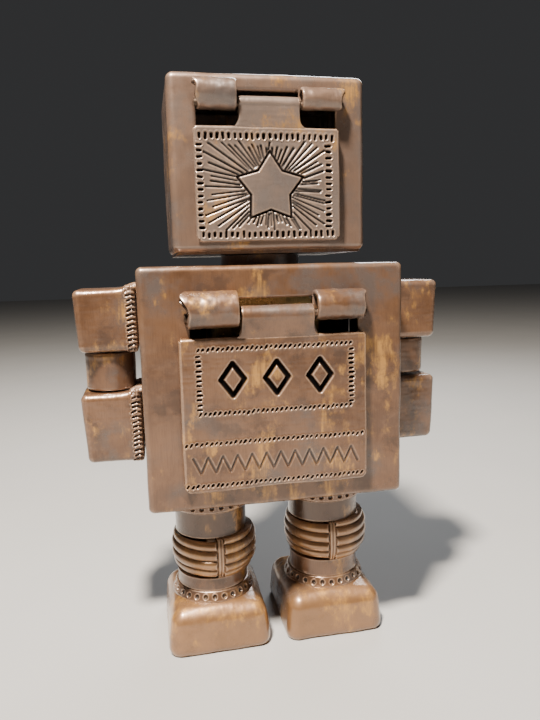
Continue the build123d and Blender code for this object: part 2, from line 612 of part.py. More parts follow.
def crown_wheel():
    """A disc with teeth standing on its front rim."""
    pitch_radius = MODULE * CROWN_TEETH / 2
    disc = rod_y(pitch_radius + 1.5, 0, (CROWN_FACE, CROWN_FACE + 1.5), SECOND_Z)
    tooth_tall = CROWN_FACE - (CRANK_Y + MODULE * CRANK_TEETH / 2 - ADDENDUM * MODULE)
    thick = CROWN_SHARE * pi * MODULE
    for n in range(CROWN_TEETH):
        tooth = Box(3.0, tooth_tall, thick)
        place = Pos(0, CROWN_FACE - tooth_tall / 2, SECOND_Z) * Rot(0, -360 * n / CROWN_TEETH, 0)
        disc += place * Pos(pitch_radius, 0, 0) * tooth
    return disc - rod_y(SECOND_ARBOR, 0, (CROWN_FACE - 4, CROWN_FACE + 4), SECOND_Z)


def governor_arbor():
    """The fly's arbor with its pinion cut in the solid."""
    pinion = gear_face(FLY_TEETH, FINE_MODULE, 180 / FLY_TEETH)
    arbor = rod_y(FLY_ARBOR, FLY_X, (FRONT_PLATE + 0.2, BACK_PLATE + PLATE_THICK + 0.8), SECOND_Z)
    return arbor + wheel_y(pinion, FLY_X, (SECOND_WHEEL[0] - 1, SECOND_WHEEL[1] + 1), SECOND_Z)


def governor_fan():
    """Two blades on a hub, which beat the air and slow the train."""
    y = (-4.0, 9.0)
    blades = block((FLY_X - 7, FLY_X + 7), y, (SECOND_Z - 0.4, SECOND_Z + 0.4))
    return blades + rod_y(2.4, FLY_X, y, SECOND_Z) - rod_y(FLY_ARBOR, FLY_X, y, SECOND_Z)


def crankshaft():
    """The cross shaft with its pinion cut in the solid, in mesh with the crown wheel."""
    shaft = rod_x(CRANK_SHAFT, (-CRANK_DISC - 2, CRANK_DISC + 2), CRANK_Y, SECOND_Z)
    face = gear_face(CRANK_TEETH, MODULE, 90 + 180 / CRANK_TEETH)
    low = MODULE * CROWN_TEETH / 2 - 1.8
    pinion = Pos(low, CRANK_Y, SECOND_Z) * Rot(0, 90, 0) * extrude(face, amount=3.4)
    return shaft + pinion


def crank_discs():
    """A disc and pin at each end of the crankshaft, half a turn apart."""
    tilt = radians(LEVER_TILT)
    discs = []
    for _, side in SIDES:
        x = sorted((side * CRANK_DISC, side * (CRANK_DISC + 2)))
        disc = rod_x(5.0, x, CRANK_Y, SECOND_Z) - rod_x(CRANK_SHAFT, (x[0] - 1, x[1] + 1), CRANK_Y, SECOND_Z)
        pin_x = sorted((side * (CRANK_DISC + 2), side * CRANK_PIN_END))
        y, z = CRANK_Y - side * CRANK_THROW * sin(tilt), SECOND_Z + side * CRANK_THROW * cos(tilt)
        discs.append(disc + rod_x(CRANK_PIN, pin_x, y, z))
    return together(discs)


def leg(name, side):
    """Every piece of one leg, from the sole up."""
    return {
        name + "_sole_plate": sole_plate(side),
        name + "_foot": foot(side),
        name + "_foot_ring": ring_z(side, (FOOT_TOP, FOOT_RING_TOP)),
        name + "_ankle_tube": tube_z(ANKLE_RADIUS, side, (FOOT_RING_TOP, ANKLE_TOP)),
        name + "_knee_bellows": knee_bellows(side),
        name + "_thigh_tube": tube_z(THIGH_RADIUS, side, (BELLOWS_TOP, THIGH_TOP)),
        name + "_thigh_ring": ring_z(side, (THIGH_TOP, THIGH_RING_TOP)),
        name + "_hip_yoke": hip_yoke(side),
        name + "_leg_tie_bolt": leg_tie_bolt(side),
    }


def arm(name, side):
    """The two blocks and the drum of one arm."""
    return {
        name + "_upper_arm": arm_block(side, UPPER_ARM, (UPPER_ARM[0] - 1, ELBOW_PIN_SPAN[1])),
        name + "_lower_arm": arm_block(side, LOWER_ARM, (ELBOW_PIN_SPAN[0], LOWER_ARM[1] + 1)),
        name + "_elbow_drum": elbow_drum(side),
    }


def pieces():
    """Every node of the robot by name."""
    nodes = {
        "torso_shell": torso_shell(),
        "torso_back_cover": torso_back_cover(),
        "back_cover_screws": back_cover_screws(),
        "key_bush": key_bush(),
        "neck_collar": neck_collar(),
        "chest_hinge_pin": hinge_pin(TORSO_FRONT, CHEST_HINGE_Z, CHEST_PIN, CHEST_KNUCKLE_END),
        "chest_door": chest_door(),
        "head_shell": head_shell(),
        "head_base_plate": head_base_plate(),
        "face_hinge_pin": hinge_pin(HEAD_FRONT, FACE_HINGE_Z, FACE_PIN, FACE_KNUCKLE_END),
        "face_door": face_door(),
        "neck_bolt": neck_bolt(),
        "neck_nut": neck_nut(),
        "elbow_pins": elbow_pins(),
        "arm_rivets": arm_rivets(),
        "hip_axle": hip_axle(),
        "hip_bearings": hip_bearings(),
        "movement_front_plate": movement_front_plate(),
        "movement_back_plate": movement_back_plate(),
        "movement_pillars": movement_pillars(),
        "movement_screws": movement_screws(),
        "mainspring": mainspring(),
        "great_wheel": great_wheel(),
        "ratchet_click": ratchet_click(),
        "click_spring": click_spring(),
        "winding_arbor": winding_arbor(),
        "ratchet_wheel": ratchet_wheel(),
        "winding_key": winding_key(),
        "second_arbor": second_arbor(),
        "second_wheel": second_wheel(),
        "crown_wheel": crown_wheel(),
        "governor_arbor": governor_arbor(),
        "governor_fan": governor_fan(),
        "crankshaft": crankshaft(),
        "crank_discs": crank_discs(),
    }
    for name, side in SIDES:
        nodes |= arm(name, side)
        nodes |= leg(name, side)
    return nodes


os.makedirs("parts", exist_ok=True)
for node_name, node_shape in pieces().items():
    write(node_name, node_shape)
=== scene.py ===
"""Looks of the wind-up robot: hand-worked bronze skin over the CAD frame, with camera, light and floor."""

import json
import math

import bpy
import numpy as np
from mathutils import Matrix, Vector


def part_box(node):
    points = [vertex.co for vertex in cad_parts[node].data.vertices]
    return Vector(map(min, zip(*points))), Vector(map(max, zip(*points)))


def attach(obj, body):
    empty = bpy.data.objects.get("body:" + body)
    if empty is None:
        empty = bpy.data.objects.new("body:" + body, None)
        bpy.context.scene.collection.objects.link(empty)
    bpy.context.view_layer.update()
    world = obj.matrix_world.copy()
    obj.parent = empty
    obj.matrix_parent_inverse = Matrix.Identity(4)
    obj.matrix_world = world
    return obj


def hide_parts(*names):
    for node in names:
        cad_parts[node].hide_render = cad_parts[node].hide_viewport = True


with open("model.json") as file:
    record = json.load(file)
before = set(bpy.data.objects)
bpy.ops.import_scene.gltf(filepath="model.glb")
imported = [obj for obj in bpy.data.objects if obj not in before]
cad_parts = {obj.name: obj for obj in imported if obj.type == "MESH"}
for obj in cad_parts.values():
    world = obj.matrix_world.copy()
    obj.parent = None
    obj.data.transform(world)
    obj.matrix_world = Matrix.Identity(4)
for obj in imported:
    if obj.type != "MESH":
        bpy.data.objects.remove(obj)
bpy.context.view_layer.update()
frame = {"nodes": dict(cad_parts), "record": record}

MM = 0.001
SCENE = bpy.context.scene
SIDES = (("left", 1), ("right", -1))
CARVED, FINE, COARSE = ((0.31, 0.42, 1.1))  # mesh steps in mm


# ---- places, in millimetres ----------------------------------------------------------------------
def node_box(node):
    """Lowest and highest corner of a CAD node in millimetres."""
    low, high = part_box(node)
    return np.array(low) / MM, np.array(high) / MM


class Hinge:
    """A door's rolled hinge: the pin's axis, the door's roll, the outer knuckles and the slab."""

    def __init__(self, door, roll, drop, tongue, knuckles, opening, opening_low):
        self.low, self.high = node_box(door)
        self.roll, self.tongue, self.knuckles = roll, tongue, knuckles
        self.opening, self.opening_low = opening, opening_low
        self.y, self.z = self.high[1] - roll, self.high[2] - roll
        self.front = self.y + HINGE_PROUD
        self.slab_back = self.front - DOOR_GAP
        self.slab_front = self.slab_back - SLAB
        self.slab_top = self.z - drop


HINGE_PROUD, DOOR_GAP, SLAB = 2.0, 0.3, 4.5
WALL = 2.0
# a knuckle is given by its two ends, its rise above the pin and its radius
FACE = Hinge(
    "face_door", roll=3.0, drop=8.5, tongue=(-12.8, 11.6),
    knuckles=((-29.4, -13.4, 3.4, 5.8), (12.4, 29.5, 2.5, 4.5)),
    opening=(-28.8, 27.4), opening_low=184.0)
CHEST = Hinge(
    "chest_door", roll=4.4, drop=7.8, tongue=(-15.2, 14.8),
    knuckles=((-37.2, -15.9, 3.0, 7.5), (15.5, 36.4, 3.5, 6.6)),
    opening=(-35.0, 35.0), opening_low=84.0)


# ---- noise ---------------------------------------------------------------------------------------
def lattice(ix, iy, iz, seed):
    """A repeatable value from -1 to 1 for each lattice point."""
    mixed = (ix * 73856093) ^ (iy * 19349663) ^ (iz * 83492791) ^ (seed * 40503 + 977)
    mixed = (mixed ^ (mixed >> 13)) * 1274126177 & 0xFFFFFFFF
    mixed = (mixed ^ (mixed >> 16)) * 668265263 & 0xFFFFFFFF
    return mixed / 0x7FFFFFFF - 1.0


def noise(points, size, seed):
    """Smooth value noise with features of about `size` millimetres; size may differ by axis."""
    scaled = points / np.asarray(size, float)
    cell = np.floor(scaled).astype(np.int64)
    part = scaled - cell
    part = part * part * (3 - 2 * part)
    total = np.zeros(len(points))
    for dx in (0, 1):
        for dy in (0, 1):
            for dz in (0, 1):
                weight = np.abs(1 - dx - part[:, 0]) * np.abs(1 - dy - part[:, 1])
                weight *= np.abs(1 - dz - part[:, 2])
                total += weight * lattice(cell[:, 0] + dx, cell[:, 1] + dy, cell[:, 2] + dz, seed)
    return total


def handwork(points, seed, amount=1.0):
    """The unevenness of a surface shaped and smoothed by hand."""
    wave = 0.22 * noise(points, 19, seed) + 0.10 * noise(points, 7, seed + 1)
    drag = 0.030 * noise(points, (6.0, 6.0, 0.9), seed + 2) + 0.025 * noise(points, (0.9, 0.9, 5.0), seed + 3)
    return amount * (wave + drag + 0.02 * noise(points, 1.3, seed + 4))


def smoothstep(low, high, value):
    share = np.clip((value - low) / (high - low), 0, 1)
    return share * share * (3 - 2 * share)


# ---- surfaces ------------------------------------------------------------------------------------
class Surface:
    """Points in millimetres with faces (quads and end caps) that can be displaced and joined."""

    def __init__(self, points, quads, caps=()):
        self.points, self.quads = np.asarray(points, float), np.asarray(quads, np.int64)
        self.caps = list(caps)
        self.ink = np.zeros(len(self.points))
        self.relief = np.zeros(len(self.points))

    def normals(self):
        p, q = self.points, self.quads
        face = np.cross(p[q[:, 2]] - p[q[:, 0]], p[q[:, 3]] - p[q[:, 1]])
        total = np.zeros_like(p)
        for corner in range(4):
            np.add.at(total, q[:, corner], face)
        return total / np.maximum(np.linalg.norm(total, axis=1, keepdims=True), 1e-9)

    def raise_by(self, height, relief=None):
        """Moves each point along its normal; relief is the part of it that counts as tool marks."""
        self.points = self.points + self.normals() * height[:, None]
        if relief is not None:
            self.relief = self.relief + relief
        return self

    def bend(self, normals):
        """How convex the surface is at each point, in 1/mm; hollows are negative."""
        p, q = self.points, self.quads
        total, count = np.zeros(len(p)), np.full(len(p), 1e-9)
        for corner in range(4):
            start, end = q[:, corner], q[:, (corner + 1) % 4]
            step = p[end] - p[start]
            square = np.maximum((step * step).sum(axis=1), 1e-6)
            np.add.at(total, start, -2 * (normals[start] * step).sum(axis=1) / square)
            np.add.at(total, end, 2 * (normals[end] * step).sum(axis=1) / square)
            np.add.at(count, start, 1)
            np.add.at(count, end, 1)
        return self.soften(total / count)

    def soften(self, value):
        q = self.quads
        total, count = np.zeros(len(value)), np.full(len(value), 1e-9)
        average = value[q].mean(axis=1)
        for corner in range(4):
            np.add.at(total, q[:, corner], average)
            np.add.at(count, q[:, corner], 1)
        return total / count

    def hollow(self, thickness, is_open):
        """Cuts away the faces that is_open picks by their centre and gives the rest an inner wall."""
        centres = self.points[self.quads].mean(axis=1)
        quads = self.quads[~is_open(centres)]
        count = len(self.points)
        inner = self.points - self.normals() * thickness
        edges = np.concatenate([quads[:, [c, (c + 1) % 4]] for c in range(4)])
        keys, back = edges[:, 0] * count + edges[:, 1], edges[:, 1] * count + edges[:, 0]
        rim = edges[~np.isin(keys, back)]
        walls = np.stack([rim[:, 1], rim[:, 0], rim[:, 0] + count, rim[:, 1] + count], axis=1)
        self.points = np.concatenate([self.points, inner])
        self.quads = np.concatenate([quads, quads[:, ::-1] + count, walls])
        self.ink = np.concatenate([self.ink, np.zeros(count)])
        self.relief = np.concatenate([self.relief, np.zeros(count)])
        return self

    def joined(self, other):
        shift = len(self.points)
        both = Surface(
            np.concatenate([self.points, other.points]),
            np.concatenate([self.quads, other.quads + shift]),
            self.caps + [[i + shift for i in cap] for cap in other.caps],
        )
        both.ink = np.concatenate([self.ink, other.ink])
        both.relief = np.concatenate([self.relief, other.relief])
        return both

    def compact(self):
        used = np.unique(np.concatenate([self.quads.ravel(), np.array(sum(self.caps, []), np.int64)]))
        renumber = np.zeros(len(self.points), np.int64)
        renumber[used] = np.arange(len(used))
        self.points, self.ink, self.relief = self.points[used], self.ink[used], self.relief[used]
        self.quads = renumber[self.quads]
        self.caps = [[int(renumber[i]) for i in cap] for cap in self.caps]
        return self


def ticks(low, high, radius, step, extra):
    """Places of grid lines along one side of a rounded block, closer together round its edges."""
    turn = radius * np.tan(np.radians([9, 18, 27, 36, 45]))
    count = max(1, math.ceil((high - low - 2 * radius) / step))
    middle = np.linspace(low + radius, high - radius, count + 1)
    for place in extra:
        middle[np.argmin(np.abs(middle - place))] = place
    return np.concatenate([(low + radius - turn)[::-1], middle, high - radius + turn])


def rounded_block(low, high, radius, step, extra=((), (), ()), plain=None):
    """A box with rounded edges as one closed grid; the plain face, (axis, sign), is a single polygon."""
    low, high = np.asarray(low, float), np.asarray(high, float)
    lines = [ticks(low[i], high[i], radius, step, extra[i]) for i in range(3)]
    points, quads, caps, start = [], [], [], 0
    for axis in range(3):
        a, b = [i for i in range(3) if i != axis]
        grid_a, grid_b = np.meshgrid(lines[a], lines[b], indexing="ij")
        index = np.arange(grid_a.size).reshape(grid_a.shape)
        corners = [index[:-1, :-1], index[1:, :-1], index[1:, 1:], index[:-1, 1:]]
        cells = np.stack(corners, axis=-1).reshape(-1, 4)
        for sign, level in ((-1, low[axis]), (1, high[axis])):
            sheet = np.empty(grid_a.shape + (3,))
            sheet[..., a], sheet[..., b], sheet[..., axis] = grid_a, grid_b, level
            points.append(sheet.reshape(-1, 3))
            flipped = (sign < 0) != (axis == 1)
            own = cells
            if plain == (axis, sign):
                flat = index[5:-5, 5:-5]
                rim = np.concatenate([flat[:-1, 0], flat[-1, :-1], flat[:0:-1, -1], flat[0, :0:-1]])
                caps.append((rim[::-1] if flipped else rim) + start)
                own = cells[~np.isin(cells, flat).all(axis=1)]
            quads.append((own[:, ::-1] if flipped else own) + start)
            start += grid_a.size
    points, quads = np.concatenate(points), np.concatenate(quads)
    core = np.clip(points, low + radius, high - radius)
    out = points - core
    points = core + radius * out / np.linalg.norm(out, axis=1, keepdims=True)
    places = np.round(points * 1e4).astype(np.int64)
    _, first, where = np.unique(places, axis=0, return_index=True, return_inverse=True)
    where = where.ravel()
    return Surface(points[first], where[quads], [where[cap].tolist() for cap in caps])


def turned(profile, x, y, step):
    """A closed (radius, z) outline turned about a vertical axis."""
    profile = np.asarray(profile, float)
    count = max(24, int(2 * math.pi * profile[:, 0].max() / step))
    angle = 2 * np.pi * np.arange(count) / count
    ring = np.stack([np.cos(angle), np.sin(angle)], axis=1)
    points = np.empty((count, len(profile), 3))
    points[..., 0] = x + ring[:, None, 0] * profile[None, :, 0]
    points[..., 1] = y + ring[:, None, 1] * profile[None, :, 0]
    points[..., 2] = profile[None, :, 1]
    index = np.arange(count * len(profile)).reshape(count, len(profile))
    after, along = np.roll(index, -1, axis=0), np.roll(index, -1, axis=1)
    both = np.roll(after, -1, axis=1)
    quads = np.stack([index, after, both, along], axis=-1).reshape(-1, 4)
    return Surface(points.reshape(-1, 3), quads)


def resampled(outline, step):
    """The closed polyline through the outline's points with points about a step apart."""
    outline = np.asarray(outline, float)
    closed = np.concatenate([outline, outline[:1]])
    pieces = []
    for start, end in zip(closed[:-1], closed[1:]):
        count = max(1, round(float(np.linalg.norm(end - start)) / step))
        pieces.append(start + (end - start) * (np.arange(count) / count)[:, None])
    return np.concatenate(pieces)


def swept(outline, low_x, high_x, step):
    """A closed (y, z) outline carried along X; both ends may differ from point to point."""
    outline = np.asarray(outline, float)
    low_x, high_x = np.broadcast_to(low_x, len(outline)), np.broadcast_to(high_x, len(outline))
    count = max(2, math.ceil(float((high_x - low_x).max()) / step))
    step_number = np.arange(count + 1)
    share = (1 - np.cos(np.pi * step_number / count)) / 2 * 0.25 + 0.75 * step_number / count
    points = np.empty((count + 1, len(outline), 3))
    points[..., 0] = low_x[None, :] + share[:, None] * (high_x - low_x)[None, :]
    points[..., 1:] = outline[None, :, :]
    rounding = 0.5 * np.exp(-np.minimum(step_number, count - step_number) / 1.2)
    centre = outline.mean(axis=0)
    inward = centre - outline
    inward /= np.maximum(np.linalg.norm(inward, axis=1, keepdims=True), 1e-9)
    points[..., 1:] += rounding[:, None, None] * 0.5 * inward[None, :, :]
    index = np.arange((count + 1) * len(outline)).reshape(count + 1, len(outline))
    here, after = index[:-1], index[1:]
    around = [here, after, np.roll(after, -1, axis=1), np.roll(here, -1, axis=1)]
    quads = np.stack(around, axis=-1).reshape(-1, 4)
    caps = [index[0].tolist(), index[-1][::-1].tolist()]
    area = np.cross(outline, np.roll(outline, -1, axis=0)).sum()
    if area > 0:
        quads, caps = quads[:, ::-1], [cap[::-1] for cap in caps]
    return Surface(points.reshape(-1, 3), quads, caps)


# ---- tool marks ----------------------------------------------------------------------------------
class Marks:
    """Dents pressed into a face, worked out in the face's own two directions."""

    def __init__(self, u, v, facing):
        self.u, self.v, self.facing = u, v, facing
        self.depth = np.zeros(len(u))
        self.ink = np.zeros(len(u))
        self.lip = np.zeros(len(u))

    def press(self, shape, depth, ink=0.0):
        """Takes the deepest of the marks where they meet."""
        self.depth = np.maximum(self.depth, depth * shape * self.facing)
        self.ink = np.maximum(self.ink, ink * shape * self.facing)

    def dash(self, u, v, along, across, angle, depth, ink=0.0):
        """One dent with a raised lip: an oblong, or round when it is as wide as long."""
        near = np.flatnonzero((np.abs(self.u - u) < along + across) & (np.abs(self.v - v) < along + across))
        du, dv = self.u[near] - u, self.v[near] - v
        a = du * math.cos(angle) + dv * math.sin(angle)
        b = -du * math.sin(angle) + dv * math.cos(angle)
        if along > across * 1.3:
            outside = np.hypot(np.maximum(np.abs(a) - (along - across) / 2, 0), b) - across / 2
        else:
            outside = np.hypot(a, b * along / across) - along / 2
        shape = (1 - smoothstep(-0.30, 0.16, outside)) * self.facing[near]
        lip = np.exp(-(((outside - 0.30) / 0.20) ** 2)) * self.facing[near]
        self.depth[near] = np.maximum(self.depth[near], depth * shape)
        self.ink[near] = np.maximum(self.ink[near], ink * shape)
        self.lip[near] = np.maximum(self.lip[near], 0.24 * min(1.0, depth) * lip)

    def line(self, points, width, depth, ink=0.0):
        """A groove along a polyline."""
        distance = np.full(len(self.u), 1e9)
        for (u0, v0), (u1, v1) in zip(points[:-1], points[1:]):
            du, dv = u1 - u0, v1 - v0
            share = np.clip(((self.u - u0) * du + (self.v - v0) * dv) / (du * du + dv * dv), 0, 1)
            distance = np.minimum(distance, np.hypot(self.u - u0 - share * du, self.v - v0 - share * dv))
        self.press(1 - smoothstep(width * 0.28, width * 0.72, distance), depth, ink)

    def height(self):
        return np.where(self.depth > 0.05, 0, self.lip) - self.depth

    def row(self, start, end, pitch, along, across, turn, depth, rng, ink=0.35):
        """A row of dents between two points, each a little different from the last."""
        start, end = np.array(start, float), np.array(end, float)
        length = float(np.linalg.norm(end - start))
        heading = math.atan2(end[1] - start[1], end[0] - start[0])
        for place in np.arange(0, length + pitch / 2, pitch):
            u, v = start + (end - start) * place / length
            size = rng.uniform(0.82, 1.18)
            self.dash(
                u + rng.normal(0, 0.10), v + rng.normal(0, 0.12),
                along * size, across * rng.uniform(0.8, 1.15),
                heading + turn + rng.normal(0, 0.07),
                depth * rng.uniform(0.8, 1.1), ink * rng.uniform(0.8, 1.1))


def apply_marks(surface, marks):
    surface.raise_by(marks.height(), marks.depth)
    surface.ink = np.maximum(surface.ink, marks.ink)
    return surface


# ---- materials -----------------------------------------------------------------------------------
class Shader:
    """A node material put together in short steps."""

    def __init__(self, name):
        self.material = bpy.data.materials.new(name)
        self.material.use_nodes = True
        self.nodes, self.links = self.material.node_tree.nodes, self.material.node_tree.links
        self.surface = self.nodes["Principled BSDF"]
        self.where = self.nodes.new("ShaderNodeTexCoord").outputs["Object"]

    def noise(self, size_mm, detail=4.0, roughness=0.55, stretch=(1, 1, 1), seed=0.0):
        """Noise from 0 to 1 with features of about size_mm."""
        mapping = self.nodes.new("ShaderNodeMapping")
        mapping.inputs["Scale"].default_value = [1.0 / s for s in stretch]
        mapping.inputs["Location"].default_value = (seed * 0.37, seed * 0.11, seed * 0.23)
        self.links.new(self.where, mapping.inputs["Vector"])
        texture = self.nodes.new("ShaderNodeTexNoise")
        texture.inputs["Scale"].default_value = 1 / (size_mm * MM)
        texture.inputs["Detail"].default_value = detail
        texture.inputs["Roughness"].default_value = roughness
        self.links.new(mapping.outputs["Vector"], texture.inputs["Vector"])
        return texture.outputs["Fac"]

    def pits(self, size_mm):
        texture = self.nodes.new("ShaderNodeTexVoronoi")
        texture.inputs["Scale"].default_value = 1 / (size_mm * MM)
        self.links.new(self.where, texture.inputs["Vector"])
        return texture.outputs["Distance"]

    def attribute(self, name):
        node = self.nodes.new("ShaderNodeAttribute")
        node.attribute_name = name
        return node.outputs["Fac"]

    def remap(self, value, low, high, to_low=0.0, to_high=1.0):
        node = self.nodes.new("ShaderNodeMapRange")
        node.interpolation_type = "SMOOTHSTEP"
        self.put(node.inputs["Value"], value)
        for name, number in (("From Min", low), ("From Max", high), ("To Min", to_low), ("To Max", to_high)):
            node.inputs[name].default_value = number
        return node.outputs["Result"]

    def math(self, operation, a, b):
        node = self.nodes.new("ShaderNodeMath")
        node.operation = operation
        self.put(node.inputs[0], a)
        self.put(node.inputs[1], b)
        return node.outputs[0]

    def mix(self, share, a, b):
        """Between two colours."""
        node = self.nodes.new("ShaderNodeMix")
        node.data_type = "RGBA"
        self.put(node.inputs["Factor"], share)
        self.put(node.inputs["A"], a)
        self.put(node.inputs["B"], b)
        return node.outputs["Result"]

    def put(self, socket, value):
        if isinstance(value, bpy.types.NodeSocket):
            self.links.new(value, socket)
        elif isinstance(value, tuple):
            socket.default_value = (*value, 1.0)
        else:
            socket.default_value = value

    def bump(self, height, distance_mm, strength):
        node = self.nodes.new("ShaderNodeBump")
        node.inputs["Strength"].default_value = strength
        node.inputs["Distance"].default_value = distance_mm * MM
        self.put(node.inputs["Height"], height)
        self.links.new(node.outputs["Normal"], self.surface.inputs["Normal"])

    def finish(self, color, roughness, metallic):
        self.put(self.surface.inputs["Base Color"], color)
        self.put(self.surface.inputs["Roughness"], roughness)
        self.put(self.surface.inputs["Metallic"], metallic)
        return self.material


BROWN, TAN = (0.115, 0.055, 0.027), (0.185, 0.092, 0.046)
SLATE, UMBER = (0.110, 0.088, 0.080), (0.045, 0.022, 0.012)
# second colour below: laid on convex edges, partly rubbed wear and partly a painted highlight
GOLD, WORN_EDGE_HIGHLIGHT = (0.50, 0.25, 0.060), (0.50, 0.33, 0.22)
# first colour below: painted shade, laid into hollows and pressed tool marks
HOLLOW_SHADE, INK = (0.008, 0.005, 0.004), (0.002, 0.0015, 0.0015)
# second colour below: painted light, a lighter tint laid on the feet and ribs where the lamp falls
PEWTER, LAMPLIGHT_HONEY = (0.235, 0.190, 0.165), (0.36, 0.185, 0.075)
METALLIC, COAT = 0.45, 1.0


def patina(name, gold, seed=0.0, tint=TAN, share=0.0, carved=True):
    """Brown bronze rubbed gold in patches; gold runs from 0 to 1, and share says how much of it is tint.

    Carved pieces carry the masks that paint shade into hollows and tool marks, darken inked marks and
    brighten edges with wear and a painted highlight.
    """
    s = Shader(name)
    broad = s.noise(26, 3, 0.5, seed=seed)
    patches = s.noise(11, 5, 0.62, seed=seed + 3)
    streaks = s.noise(1.6, 3, 0.6, stretch=(1, 1, 9), seed=seed + 5)
    grain = s.noise(0.7, 3, 0.7, seed=seed + 7)
    brushed = s.noise(0.45, 2, 0.6, stretch=(1, 1, 16), seed=seed + 21)
    color = s.mix(s.remap(broad, 0.36, 0.64), BROWN, TAN)
    color = s.mix(s.remap(s.noise(3.2, 4, 0.65, seed=seed + 17), 0.46, 0.66, 0, 0.55), color, TAN)
    color = s.mix(s.remap(brushed, 0.45, 0.70, 0, 0.24), color, UMBER)
    color = s.mix(s.remap(patches, 0.50, 0.66, 0, 0.62), color, UMBER)
    color = s.mix(share, color, tint)
    cool = s.remap(s.noise(34, 2, 0.5, seed=seed + 9), 0.50, 0.66)
    cool = s.math("MULTIPLY", cool, s.remap(patches, 0.35, 0.6))
    color = s.mix(s.math("MULTIPLY", cool, 0.7), color, SLATE)
    worn = s.noise(15, 5, 0.68, stretch=(1, 1, 1.5), seed=seed + 13)
    rubbed = s.remap(worn, 0.575 - 0.12 * gold, 0.70 - 0.12 * gold)
    flecked = s.math("MULTIPLY", rubbed, s.remap(streaks, 0.35, 0.62, 0.25, 1.0))
    color = s.mix(s.math("MULTIPLY", flecked, 0.90), color, GOLD)
    color = s.mix(s.remap(grain, 0.55, 0.85, 0, 0.35), color, UMBER)
    rough = s.remap(patches, 0.3, 0.7, 0.30, 0.48)
    metal, coat = METALLIC, COAT
    if carved:
        # edges: partly rubbed wear, partly a painted highlight along convex edges
        edge = s.math("MULTIPLY", s.attribute("wear_and_highlight"), s.remap(streaks, 0.25, 0.55, 0.35, 1.0))
        color = s.mix(s.math("MULTIPLY", edge, 0.80), color, WORN_EDGE_HIGHLIGHT)
        # painted shade: hollows and pressed tool marks are darkened towards near black
        color = s.mix(s.math("MULTIPLY", s.attribute("painted_hollow_shade"), 0.9), color, HOLLOW_SHADE)
        color = s.mix(s.attribute("ink"), color, INK)
        rough = s.math("ADD", rough, s.math("MULTIPLY", s.attribute("painted_hollow_shade"), 0.35))
        rough = s.math("SUBTRACT", rough, s.math("MULTIPLY", edge, 0.10))
        rough = s.math("ADD", rough, s.math("MULTIPLY", s.attribute("ink"), 0.5))
        metal = s.math("SUBTRACT", METALLIC, s.math("MULTIPLY", s.attribute("ink"), METALLIC))
        s.put(s.surface.inputs["Specular IOR Level"], s.remap(s.attribute("ink"), 0.2, 0.9, 0.5, 0.05))
        coat = s.remap(s.attribute("ink"), 0.1, 0.6, COAT, 0.0)
    pitted = s.remap(s.pits(1.9), 0.0, 0.22)
    height = s.math("ADD", s.math("MULTIPLY", brushed, 0.30), s.math("MULTIPLY", grain, 0.45))
    height = s.math("ADD", height, s.math("MULTIPLY", pitted, 0.25))
    s.bump(height, 0.10, 0.45)
    s.put(s.surface.inputs["Coat Weight"], coat)
    s.put(s.surface.inputs["Coat Roughness"], s.remap(patches, 0.35, 0.65, 0.17, 0.30))
    return s.finish(color, rough, metal)


def metal(name, color, shade, rough, stretch=(1, 1, 8), tarnish=(0.10, 0.08, 0.06)):
    """Turned or brushed metal with fine lines and a little tarnish."""
    s = Shader(name)
    lines = s.noise(0.5, 3, 0.6, stretch=stretch)
    cloud = s.noise(6, 4, 0.6, seed=2)
    base = s.mix(s.remap(lines, 0.3, 0.7), color, shade)
    base = s.mix(s.remap(cloud, 0.52, 0.75, 0, 0.6), base, tarnish)
    s.bump(s.math("ADD", lines, s.math("MULTIPLY", cloud, 0.6)), 0.03, 0.5)
    return s.finish(base, s.remap(cloud, 0.3, 0.7, rough, rough + 0.16), 1.0)


def leather(name):
    s = Shader(name)
    cells = s.pits(0.8)
    cloud = s.noise(7, 4, 0.6)
    color = s.mix(s.remap(cloud, 0.35, 0.65), (0.085, 0.05, 0.032), (0.15, 0.095, 0.06))
    s.bump(s.math("ADD", cells, cloud), 0.12, 0.6)
    return s.finish(color, s.remap(cloud, 0.3, 0.7, 0.55, 0.75), 0.0)


BODY_SKIN = patina("patina_body", 0.35, 0.0)
HEAD_SKIN = patina("patina_head", 0.25, 4.0, PEWTER, 0.35)
DOOR_SKIN = patina("patina_door", 0.40, 8.0)
FACE_SKIN = patina("patina_face", 0.15, 6.0, PEWTER, 0.65)
LIMB_SKIN = patina("patina_limb", 0.30, 12.0)
# painted light: the honey tint lightens the feet as if they stood in the middle of the lamp's beam; the gold
# share is rubbed metal
LIT_FOOT_SKIN = patina("patina_foot", 0.55, 14.0, LAMPLIGHT_HONEY, 0.50)
# painted shade: the thigh tubes are tinted dark umber to stand for the torso's shadow that falls over them
SHADED_THIGH_SKIN = patina("patina_thigh", 0.10, 18.0, UMBER, 0.75)
# rubbed gold wear, plus painted light: the honey tint lightens the ribs as if lit by the lamp
RUBBED_LIT_RIB_SKIN = patina("patina_ribs_rubbed_and_painted_light", 0.80, 16.0, LAMPLIGHT_HONEY, 0.75)
PLAIN_SKIN = patina("patina_plain", 0.20, 20.0, carved=False)
BRASS = metal("clock_brass", (0.66, 0.45, 0.19), (0.80, 0.58, 0.27), 0.24)
STEEL = metal("turned_steel", (0.40, 0.38, 0.36), (0.56, 0.54, 0.52), 0.26, stretch=(8, 1, 1))
PIN_METAL = metal("dark_pin", (0.060, 0.040, 0.030), (0.10, 0.07, 0.05), 0.40, stretch=(8, 1, 1))
BLUED = metal("blued_spring", (0.05, 0.07, 0.13), (0.10, 0.12, 0.20), 0.22)
NICKEL = metal("worn_nickel", (0.52, 0.49, 0.44), (0.66, 0.62, 0.56), 0.22, stretch=(1, 6, 1))
LEATHER = leather("sole_leather")
BY_SLOT = {
    "patina_bronze": PLAIN_SKIN, "brass": BRASS, "plain_steel": STEEL,
    "spring_steel": BLUED, "key_steel": NICKEL, "sole_leather": LEATHER,
}


